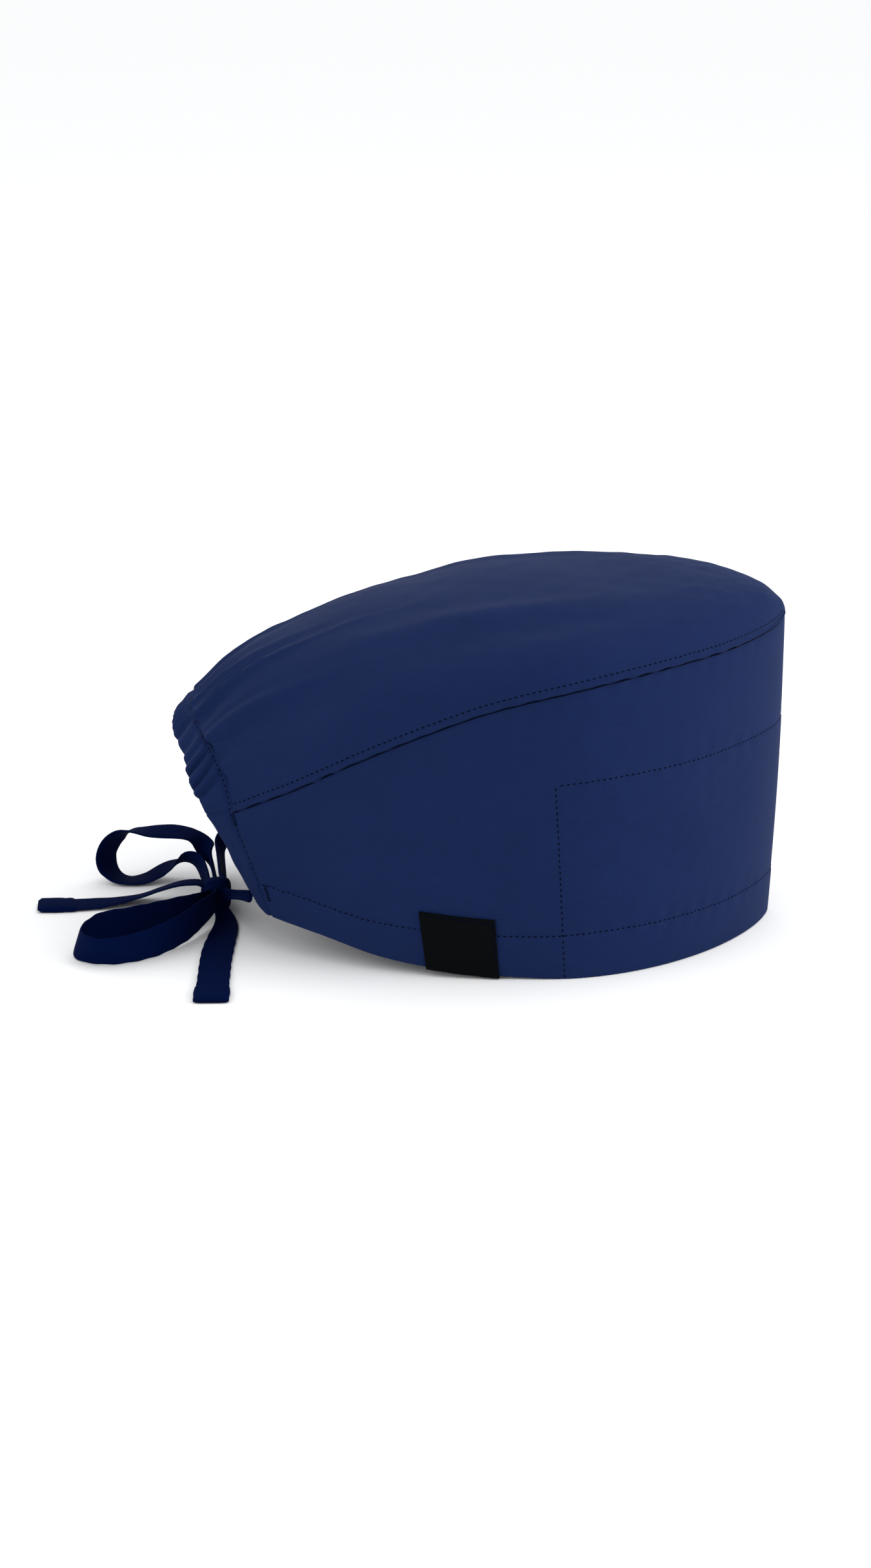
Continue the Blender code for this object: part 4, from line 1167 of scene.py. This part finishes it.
def with_allowance(points, along):
    """The crown's grid with one more column at each side, turned down behind the side band:
    the seam's allowance."""
    along = np.append(along, 1.0)
    level = travelled(whole_wall(along), 1)[:, -1] - SEAM_ALLOWANCE
    place, out = on_band(along, level)
    near = place - out * (CLOTH + 2 * CLEARANCE)
    near[0] = points[0, 0]
    near[-1] += unit(points[-1, 1] - points[-2, 1]) * TUCK_REACH
    far = near * MIRROR
    return np.concatenate([near[:, None], points, far[:, None]], axis=1)


def whole_band(half):
    """Both halves of a grid joined at the forehead: the far one mirrored, its rows first."""
    far = half[::-1] * MIRROR
    return np.concatenate([far[:-1], half], axis=0)


def column_at(height, level):
    """Column, as a number that may have a fraction, at which each row reaches its level."""
    columns = np.arange(height.shape[1])
    return np.array([np.interp(at, row, columns) for at, row in zip(level, height)])


def weave_uv(points):
    """Distances along the rows and up the columns, as places on the cloth."""
    return np.stack([travelled(points, 0), travelled(points, 1)], -1)


class CAP_OT_crown(bpy.types.Operator):
    """Makes the gathered top panel"""

    bl_idname = "cap.crown"
    bl_label = "Crown"

    def execute(self, context):
        cloth = context.scene.cap_cloth
        points, along = crown_grid()
        points = with_allowance(under_casing(points, face_normals(points)[-1]), along)
        mesh = grid_mesh("crown_cloth", points, weave_uv(points), pole=True)
        made = add_piece("crown_cloth", mesh, plain_cloth("crown cloth", cloth), cloth.wall)
        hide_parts("crown")
        return {"FINISHED"}


class CAP_OT_side_band(bpy.types.Operator):
    """Makes the side panel with its turned hem"""

    bl_idname = "cap.side_band"
    bl_label = "Side band"

    def execute(self, context):
        cloth = context.scene.cap_cloth
        half, along, height = band_grid()
        outer = half[:, ::-1].copy()
        foot = half[:, 0]
        turned = inward(foot)
        fold = 2 * CLOTH + CLEARANCE
        bends = np.stack(
            [
                foot
                + turned * (fold / 2) * (1 - np.cos(angle))
                - UP * (fold / 2) * np.sin(angle) * HEM_FLATNESS
                for angle in np.linspace(0, np.pi, HEM_BENDS + 2)[1:-1]
            ],
            1,
        )
        below_floor = UP * max(-bends[..., 2].min(), 0)
        near_rim = np.clip(1 - height[:, ::-1] / HEM_LIFT_REACH, 0, 1)
        outer += near_rim[..., None] * below_floor
        column = column_at(height, hem_height(along))
        rows = np.arange(len(half), dtype=float)
        leaf = [at_grid(half, rows, column * part) + turned * fold for part in HEM_LEAF_PARTS]
        points = np.concatenate([outer, bends + below_floor, np.stack(leaf, 1)], axis=1)
        points[0, :, 1] = 0
        points = under_casing(points, -turned[-1])
        whole = whole_band(points[:, ::-1])
        mesh = grid_mesh("band_cloth", whole, weave_uv(whole))
        made = add_piece("band_cloth", mesh, plain_cloth("side band cloth", cloth), cloth.wall)
        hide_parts("side_band")
        return {"FINISHED"}


def inward(foot):
    """Level unit directions into the cap from a row of points along its rim."""
    ahead = np.gradient(foot, axis=0)
    direction = unit(np.stack([-ahead[:, 1], ahead[:, 0], np.zeros(len(foot))], -1))
    direction[foot[:, 1] == 0] = (1, 0, 0)
    return direction


class CAP_OT_forehead_band(bpy.types.Operator):
    """Makes the inner forehead band"""

    bl_idname = "cap.forehead_band"
    bl_label = "Forehead band"

    def execute(self, context):
        cloth = context.scene.cap_cloth
        along = np.linspace(0, FOREHEAD_END, FOREHEAD_ROWS)
        inner = np.linspace(0.003, FOREHEAD_HEIGHT - 0.001, 30)
        height = np.concatenate([[2 * CLEARANCE], inner, [FOREHEAD_HEIGHT]])
        past_hem = smooth_step((height - HEM_HEIGHT - 0.0015) / 0.010)
        close = CLOTH + 2 * CLEARANCE
        step = (2 * CLOTH + 3 * CLEARANCE) * (1 - past_hem) + close * past_hem
        lowered = height[None, :] * (forehead_height(along) / FOREHEAD_HEIGHT)[:, None]
        outer, out = on_band(along[:, None], lowered)
        points = outer - out * step[None, :, None]
        points[0, :, 1] = 0
        whole = whole_band(points)
        mesh = grid_mesh("forehead_cloth", whole, weave_uv(whole))
        look = plain_cloth("forehead band cloth", cloth)
        made = add_piece("forehead_cloth", mesh, look, cloth.wall)
        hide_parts("forehead_band")
        return {"FINISHED"}


class CAP_OT_back_casing(bpy.types.Operator):
    """Makes the gathered casing round the back opening"""

    bl_idname = "cap.back_casing"
    bl_label = "Back casing"

    def execute(self, context):
        cloth = context.scene.cap_cloth
        points = casing_surface(np.linspace(0, 2, CASING_TURNS + 1))
        mesh = grid_mesh("casing_cloth", points[:, ::-1], weave_uv(points)[:, ::-1], closed=True)
        wall = cloth.wall * CASING_WALL_SHARE
        made = add_piece("casing_cloth", mesh, plain_cloth("casing cloth", cloth), wall)
        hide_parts("back_casing")
        return {"FINISHED"}


def label_along(share, width):
    """Shares along the rim for shares of the label's width about its middle."""
    rim = rim_line(np.linspace(0, 1, 400))
    reach = np.linalg.norm(np.diff(rim, axis=0), axis=1).sum()
    return LABEL_ALONG + share * width / reach


def label_stitches(label):
    """Middles, directions and normals of the stitches along the label's top and front edges."""
    top = np.linspace(-LABEL_SEWN, LABEL_SEWN, 15)
    front = np.full(12, -LABEL_SEWN)
    rows = []
    for share, level in (
        (top, np.full(15, label.height - LABEL_MARGIN)),
        (front, np.linspace(0.08, 0.90, 12) * label.height),
    ):
        place, out = on_band(label_along(share, label.width), level)
        place = place + out * LABEL_STAND
        rows.append((place, unit(np.gradient(place, axis=0)), out))
    return rows


class CAP_OT_hem_label(bpy.types.Operator):
    """Makes the bare label folded over the hem"""

    bl_idname = "cap.hem_label"
    bl_label = "Hem label"

    def execute(self, context):
        label = context.scene.cap_label
        width = label.width
        along = label_along(np.linspace(-0.5, 0.5, 41), width)
        foot = on_band(along, 0 * along)[0]
        out = -inward(foot)
        levels = np.linspace(1, 0.03, 14) * label.height
        lap = smooth_step((levels - HEM_HEIGHT + 0.001) / 0.003) * 0.0002
        leaf = [on_band(along, h)[0] + out * (LABEL_STAND - low) for h, low in zip(levels, lap)]
        depth = 2 * CLOTH + CLEARANCE + LABEL_GAP + LABEL_CLOTH
        inner = [on_band(along, h)[0] - out * depth for h in levels[::-1]]
        half = (LABEL_STAND + depth) / 2
        centre = foot + out * (LABEL_STAND - half)
        drop = LABEL_GAP + LABEL_CLOTH
        bend = [
            centre + out * half * np.cos(angle) - UP * drop * np.sin(angle)
            for angle in np.linspace(0, np.pi, 9)[1:-1]
        ]
        points = np.stack(leaf + bend + inner, 1)
        wave = uneven(LABEL_UNEVEN, travelled(points, 0), travelled(points, 1))
        points = points + out[:, None] * wave[..., None]
        points += UP * max(LABEL_LOWEST - points[..., 2].min(), 0)
        points = points[:, ::-1]
        mesh = grid_mesh("label_cloth", points, weave_uv(points))
        made = add_piece("label_cloth", mesh, label_cloth("label satin", label), LABEL_CLOTH)
        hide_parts("hem_label")
        return {"FINISHED"}


def tie_route(stations, step):
    """Stations in metres on one smooth curve through a tie's own, a step apart: each stretch
    is a cubic whose end slopes follow the stations on both sides."""
    rows = np.array(stations, float)
    rows[:, :3] /= 1000
    before = np.vstack([2 * rows[0] - rows[1], rows, 2 * rows[-1] - rows[-2]])
    made = []
    for k in range(len(rows) - 1):
        p, q, r, s = before[k : k + 4]
        count = max(1, int(np.ceil(np.linalg.norm((r - q)[:3]) / step)))
        t = (np.arange(count) / count)[:, None]
        curve = 2 * q + (r - p) * t + (2 * p - 5 * q + 4 * r - s) * t**2
        made.append((curve + (3 * q - p - 3 * r + s) * t**3) / 2)
    return np.vstack(made + [rows[-1:]])


def squared(wave, power):
    """A sine or cosine brought closer to 1 or -1 by a power below 1, which squares a circle."""
    return np.sign(wave) * np.abs(wave) ** power


def tape_surface(stations):
    """A flat tube along a tie's route. Its section is a rounded strip whose edges are thinner
    than its middle; at the hemmed end it is doubled, with a stitched step."""
    rows = tie_route(stations, TAPE_SPACING)
    middle = rows[:, :3]
    ahead = unit(np.gradient(middle, axis=0))
    across = rows[:, 3:6]
    across = unit(across - ahead * np.sum(across * ahead, axis=-1, keepdims=True))
    out = np.cross(ahead, across)
    far = travelled(middle[None], 1)[0]
    left = far[-1] - far
    share = rows[:, 6]
    ragged = 1 + TAPE_RAGGED * np.sin(far * TAPE_RAGGED_TURNS) * (share > 0.9)
    doubled = 1 - smooth_step((left - TAPE_HEM) / TAPE_HEM_STEP)
    corner = 1 - np.clip(left / TAPE_CORNER, 0, 1)
    width = share * TAPE_WIDTH / 2 * ragged * (1 + TAPE_HEM_WIDER * doubled)
    width = width * (1 - TAPE_CORNER_CUT + TAPE_CORNER_CUT * np.sqrt(1 - corner**2))
    thick = TAPE_THICKNESS / 2 + (TAPE_HEM_THICKNESS - TAPE_THICKNESS) / 2 * doubled
    thick = thick * (1 + TAPE_HEM_THICKER * doubled)
    thick = thick - TAPE_GROOVE.height * bell((left - TAPE_GROOVE_PLACE) / TAPE_GROOVE.reach)
    to_end = 1 - np.clip(left / TAPE_END_ROUND, 0, 1)
    thick = thick * np.sqrt(np.clip(1 - to_end**2, 0.02, 1))
    pinch = np.clip(1 - share, 0, 1)[:, None]
    turn = np.linspace(0, 2 * np.pi, 29)[:-1]
    aside = squared(np.cos(turn), 0.75)[None, :]
    above = squared(np.sin(turn), 0.45)[None, :]
    furrow = PINCH_FURROW * np.cos(aside * 3 * np.pi) * pinch
    cup = PINCH_CUP * (aside**2 - 0.4) * pinch
    body = above * (1 + furrow + pinch * PINCH_THICKER) * thick[:, None] + cup
    points = middle[:, None] + across[:, None] * (aside * width[:, None])[..., None]
    points = points + out[:, None] * body[..., None]
    uv = np.stack(np.broadcast_arrays(far[:, None], aside * TAPE_WIDTH / 2), -1)
    return points, uv, middle


def tape_mesh(name, points, uv):
    """The mesh of a tube, with both of its ends closed."""
    number = np.arange(points[..., 0].size).reshape(points.shape[:2])
    walls = quads(np.append(number, number[:, :1], axis=1))[:, [0, 3, 2, 1]]
    ends = number[0, ::-1], number[-1]
    faces = walls.tolist() + [end.tolist() for end in ends]
    order = np.concatenate([walls.ravel(), *ends])
    return smooth_mesh(name, points, faces, uv.reshape(-1, 2)[order])


def add_tie(name, stations, nodes, tape):
    """One tie: its tape on one route through the knot."""
    points, uv, middle = tape_surface(stations)
    made = add_piece(name, tape_mesh(name, points, uv), tape_cloth(name + " tape", tape))
    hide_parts(*nodes)
    path = placed(middle)
    return made


def knot_surface():
    """The tape wound into the knot: an ellipsoid across the cap, squared by powers of its
    sines, with three turned lobes round it and a waist near each end."""
    turn = np.linspace(0, 2 * np.pi, 49)[:-1][None, :]
    tilt = np.linspace(-np.pi / 2, np.pi / 2, 33)[:, None]
    lobes = 1 + KNOT_LOBE * np.cos(turn * 3 + tilt * 2.2)
    waist = 1 - KNOT_WAIST * bell((np.abs(tilt) - 0.62) / 0.16)
    ring = np.abs(np.cos(tilt)) ** 0.62 * waist * lobes
    back, side, up = np.array(KNOT_SIZE) / 2 + KNOT_FULLNESS
    points = np.stack(
        [
            KNOT_BACK + back * ring * squared(np.cos(turn), 0.72),
            -side * squared(np.sin(tilt), 0.8) + 0 * turn,
            KNOT_HEIGHT + up * ring * squared(np.sin(turn), 0.72),
        ],
        -1,
    )
    uv = np.stack(np.broadcast_arrays(turn * 0.006, tilt * 0.004), -1)
    return points, uv


class CAP_OT_ties(bpy.types.Operator):
    """Makes the two tape ties and the knot of their bow"""

    bl_idname = "cap.ties"
    bl_label = "Ties"

    def execute(self, context):
        tape = context.scene.cap_tape
        points, uv = knot_surface()
        mesh = tape_mesh("knot_tape", points[:, ::-1], uv[:, ::-1])
        knot = add_piece("knot_tape", mesh, tape_cloth("knot tape", tape))
        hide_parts("bow_knot")
        near = (*NEAR_LEAD, KNOT_PASS, *LOWER_LOOP, KNOT_PASS, *UPPER_TAIL)
        far = (*FAR_LEAD, KNOT_PASS, *UPPER_LOOP, KNOT_PASS, *LOWER_TAIL)
        add_tie("near_tie", near, ("near_lead", "lower_loop", "upper_tail"), tape)
        add_tie("far_tie", far, ("far_lead", "upper_loop", "lower_tail"), tape)
        return {"FINISHED"}


def crown_stitches(pitch):
    """The topstitching on both sides of the crown, a little in from the seam."""
    crown, _along = crown_grid()
    in_from = travelled(crown, 1)
    sewn = slice(4, len(crown) - 1)
    rows = np.arange(sewn.start, sewn.stop, dtype=float)
    topstitch = np.full(len(rows), TOPSTITCH)
    from_far = (in_from[:, -1:] - in_from)[:, ::-1]
    near = column_at(in_from[sewn], topstitch)
    far = crown.shape[1] - 1 - column_at(from_far[sewn], topstitch)
    return [stitches_along(crown, rows, column, pitch) for column in (near, far)]


def band_stitches(pitch):
    """The near half's lines of stitches: the hem, the forehead band's top and end, the short tacks
    by the casing and the close seam under the crown, partly real and partly painted crevice shade."""
    half, along, height = band_grid()
    rows = np.arange(0, len(half) - 1, dtype=float)
    hem = column_at(height, hem_height(along))[:-1]
    front = rows[along[:-1] < FOREHEAD_END]
    brow = column_at(height, forehead_height(along))[: len(front)]
    end, tack = np.interp((FOREHEAD_END, TACK_ALONG), along, np.arange(len(along)))
    upright = np.linspace(0.5, brow[-1], 60)
    short = np.linspace(0.55, 1, 30) * hem[-1]
    lines = [
        stitches_along(half, rows, hem, pitch),
        stitches_along(half, front, brow, pitch),
        stitches_along(half, np.full(60, end), upright, pitch),
        stitches_along(half, np.full(30, tack), short, TACK_PITCH),
        stitches_along(half, np.full(30, tack - TACK_STEP), short, TACK_PITCH),
    ]
    # Dark thread just under the crown's edge: partly real seam stitching, partly painted shade of
    # the crevice.
    seam = column_at(height, height[:, -1] - SEAM_SHADE_THREAD_DROP)[:-1]
    middle, tangent, out = stitches_along(half, rows, seam, SEAM_SHADE_THREAD_PITCH)
    return [*lines, (middle + out * SEAM_SHADE_THREAD_PROUD, tangent, out)]


def casing_stitches(pitch):
    """The stitches along the casing, beside its seam."""
    casing = casing_surface(np.linspace(0, 2, CASING_TURNS + 1))
    rows = np.arange(2, len(casing) - 2, dtype=float)
    column = np.full(len(rows), CASING_STITCH_COLUMN)
    middle, tangent, out = stitches_along(casing, rows, column, pitch)
    return [(middle, tangent, -out)]


class CAP_OT_stitches(bpy.types.Operator):
    """Sews the rows of stitches along the seams, hem, forehead band, casing and label"""

    bl_idname = "cap.stitches"
    bl_label = "Stitches"

    def execute(self, context):
        stitch = context.scene.cap_stitch
        band = band_stitches(stitch.pitch)
        groups = crown_stitches(stitch.pitch) + band
        groups += [[part * MIRROR for part in line] for line in band]
        groups += label_stitches(context.scene.cap_label)
        groups += casing_stitches(stitch.pitch)
        mesh = stitch_mesh("seam_stitches", groups, stitch.length, stitch.thread)
        # The near-black thread is partly real stitching and partly painted shade of the needle
        # pits and of the seam crevice.
        made = add_piece("seam_stitches", mesh, thread("navy thread with painted pit shade", stitch.colour))
        return {"FINISHED"}


class CAP_OT_stage(bpy.types.Operator):
    """Sets the pale floor, the soft lights and the camera"""

    bl_idname = "cap.stage"
    bl_label = "Stage"

    def execute(self, context):
        stage = context.scene.cap_stage
        reach = 9.0
        level = np.array([(-reach, -reach), (reach, -reach), (reach, reach), (-reach, reach)])
        mesh = bpy.data.meshes.new("floor")
        mesh.from_pydata([(*corner, 0.0) for corner in level.tolist()], [], [(0, 1, 2, 3)])
        floor = bpy.data.objects.new("floor", mesh)
        mesh.materials.append(floor_finish("pale floor", stage.floor_colour))
        context.scene.collection.objects.link(floor)
        world = bpy.data.worlds.new("studio")
        world.use_nodes = True
        sky = world.node_tree.nodes["Background"]
        sky.inputs["Color"].default_value = (1.0, 1.0, 1.0, 1.0)
        sky.inputs["Strength"].default_value = stage.fill
        context.scene.world = world
        context.scene.view_settings.view_transform = "Standard"
        for lamp in LAMPS:
            light = bpy.data.lights.new(lamp.name, "AREA")
            light.shape = "RECTANGLE"
            light.size = lamp.width
            light.size_y = lamp.width * 0.8
            light.energy = lamp.power * stage.lights
            made = bpy.data.objects.new(lamp.name, light)
            made.location = lamp.place
            made.rotation_euler = aimed(lamp.place, (0, 0, 0.07))
            context.scene.collection.objects.link(made)
        eye = bpy.data.cameras.new("camera")
        eye.lens = stage.lens
        eye.sensor_width = SENSOR
        eye.clip_end = 50
        camera = bpy.data.objects.new("camera", eye)
        rise = np.radians(CAMERA_RISE)
        target = np.array(CAMERA_TARGET)
        place = target + CAMERA_DISTANCE * np.array((0, -np.cos(rise), np.sin(rise)))
        camera.location = place
        camera.rotation_euler = (np.pi / 2 - rise, 0, 0)
        context.scene.collection.objects.link(camera)
        context.scene.camera = camera
        return {"FINISHED"}


def aimed(place, at):
    """Turns that point a light's beam from a place at a point."""
    x, y, z = np.array(at) - np.array(place)
    return (np.pi / 2 - np.arctan2(-z, np.hypot(x, y)), 0, np.arctan2(y, x) - np.pi / 2)


# Camera and lights
CAMERA_TARGET = (-0.0183, -0.0094, 0.060)
CAMERA_DISTANCE = 1.4
CAMERA_RISE = 17.0
SENSOR = 36.0
Lamp = namedtuple("Lamp", "name place width power")
LAMPS = (
    Lamp("right_softbox", (1.7, -0.3, 0.9), 0.9, 14),
    Lamp("left_softbox", (-1.5, -0.9, 1.2), 1.0, 3),
    Lamp("top_softbox", (0.7, 0.2, 1.8), 1.2, 6),
)


class ClothSettings(bpy.types.PropertyGroup):
    colour: bpy.props.FloatVectorProperty(
        name="Cloth colour", description="Colour of the cap's cloth",
        default=(0.0056, 0.0152, 0.066), subtype="COLOR", min=0, max=1,
    )
    pitch: bpy.props.FloatProperty(
        name="Thread pitch", description="Distance between the threads of the plain weave",
        default=0.0006, unit="LENGTH", precision=5,
    )
    wall: bpy.props.FloatProperty(
        name="Cloth thickness", description="Thickness of one layer of the cloth",
        default=CLOTH, unit="LENGTH", precision=5,
    )
    roughness: bpy.props.FloatProperty(
        name="Roughness", description="How matt the cloth is", default=0.82, min=0, max=1,
    )


class StitchSettings(bpy.types.PropertyGroup):
    pitch: bpy.props.FloatProperty(
        name="Stitch pitch", description="Distance from one stitch to the next",
        default=0.0025, unit="LENGTH", precision=5,
    )
    length: bpy.props.FloatProperty(
        name="Stitch length", description="Length of a stitch that shows",
        default=0.0017, unit="LENGTH", precision=5,
    )
    thread: bpy.props.FloatProperty(
        name="Thread thickness", description="Thickness of the sewing thread",
        default=0.00060, unit="LENGTH", precision=5,
    )
    # Near-black, darker than the cloth: partly the thread's own colour, partly painted shade of
    # the needle pits round each stitch.
    colour: bpy.props.FloatVectorProperty(
        name="Thread colour", description="Colour of the sewing thread",
        default=(0.0006, 0.0018, 0.009), subtype="COLOR", min=0, max=1,
    )


class TapeSettings(bpy.types.PropertyGroup):
    colour: bpy.props.FloatVectorProperty(
        name="Tape colour", description="Colour of the ties",
        default=(0.0008, 0.0046, 0.034), subtype="COLOR", min=0, max=1,
    )
    pitch: bpy.props.FloatProperty(
        name="Tape pitch", description="Distance between the tape's ribs",
        default=0.0007, unit="LENGTH", precision=5,
    )


class LabelSettings(bpy.types.PropertyGroup):
    colour: bpy.props.FloatVectorProperty(
        name="Label colour", description="Colour of the bare label",
        default=(0.0018, 0.0021, 0.0028), subtype="COLOR", min=0, max=1,
    )
    width: bpy.props.FloatProperty(
        name="Label width", description="Width of the label along the hem",
        default=LABEL_WIDTH, unit="LENGTH", precision=5,
    )
    height: bpy.props.FloatProperty(
        name="Label height", description="How far each leaf reaches up from the rim",
        default=LABEL_HEIGHT, unit="LENGTH", precision=5,
    )


class StageSettings(bpy.types.PropertyGroup):
    floor_colour: bpy.props.FloatVectorProperty(
        name="Floor colour", description="Colour of the floor",
        default=(0.965, 0.972, 0.98), subtype="COLOR", min=0, max=1,
    )
    fill: bpy.props.FloatProperty(
        name="Fill light", description="Strength of the even light all round",
        default=1.0, min=0,
    )
    lights: bpy.props.FloatProperty(
        name="Light strength", description="Scales the power of the soft lights",
        default=1.0, min=0,
    )
    lens: bpy.props.FloatProperty(
        name="Lens", description="Focal length of the camera in millimetres",
        default=74.67, min=1,
    )


class CAP_PT_pieces(bpy.types.Panel):
    """Lists the cap's settings and the buttons that make its pieces"""

    bl_idname = "CAP_PT_pieces"
    bl_label = "Work cap"
    bl_space_type = "VIEW_3D"
    bl_region_type = "UI"
    bl_category = "Work cap"

    def draw(self, context):
        for group in GROUPS:
            box = self.layout.box()
            held = getattr(context.scene, "cap_" + group)
            for name in GROUPS[group].__annotations__:
                box.prop(held, name)
        for operator in OPERATORS:
            self.layout.operator(operator.bl_idname)


GROUPS = {
    "cloth": ClothSettings,
    "stitch": StitchSettings,
    "tape": TapeSettings,
    "label": LabelSettings,
    "stage": StageSettings,
}
OPERATORS = (
    CAP_OT_stage,
    CAP_OT_ties,
    CAP_OT_crown,
    CAP_OT_side_band,
    CAP_OT_forehead_band,
    CAP_OT_back_casing,
    CAP_OT_hem_label,
    CAP_OT_stitches,
)


def register():
    for kind in (*GROUPS.values(), *OPERATORS, CAP_PT_pieces):
        bpy.utils.register_class(kind)
    for name, kind in GROUPS.items():
        setattr(bpy.types.Scene, "cap_" + name, bpy.props.PointerProperty(type=kind))


def unregister():
    for name in GROUPS:
        delattr(bpy.types.Scene, "cap_" + name)
    for kind in (CAP_PT_pieces, *OPERATORS, *GROUPS.values()):
        bpy.utils.unregister_class(kind)


def main():
    """Registers the add-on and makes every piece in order."""
    register()
    bpy.ops.cap.stage()
    bpy.ops.cap.ties()
    bpy.ops.cap.crown()
    bpy.ops.cap.side_band()
    bpy.ops.cap.forehead_band()
    bpy.ops.cap.back_casing()
    bpy.ops.cap.hem_label()
    bpy.ops.cap.stitches()


if __name__ == "__main__":
    main()
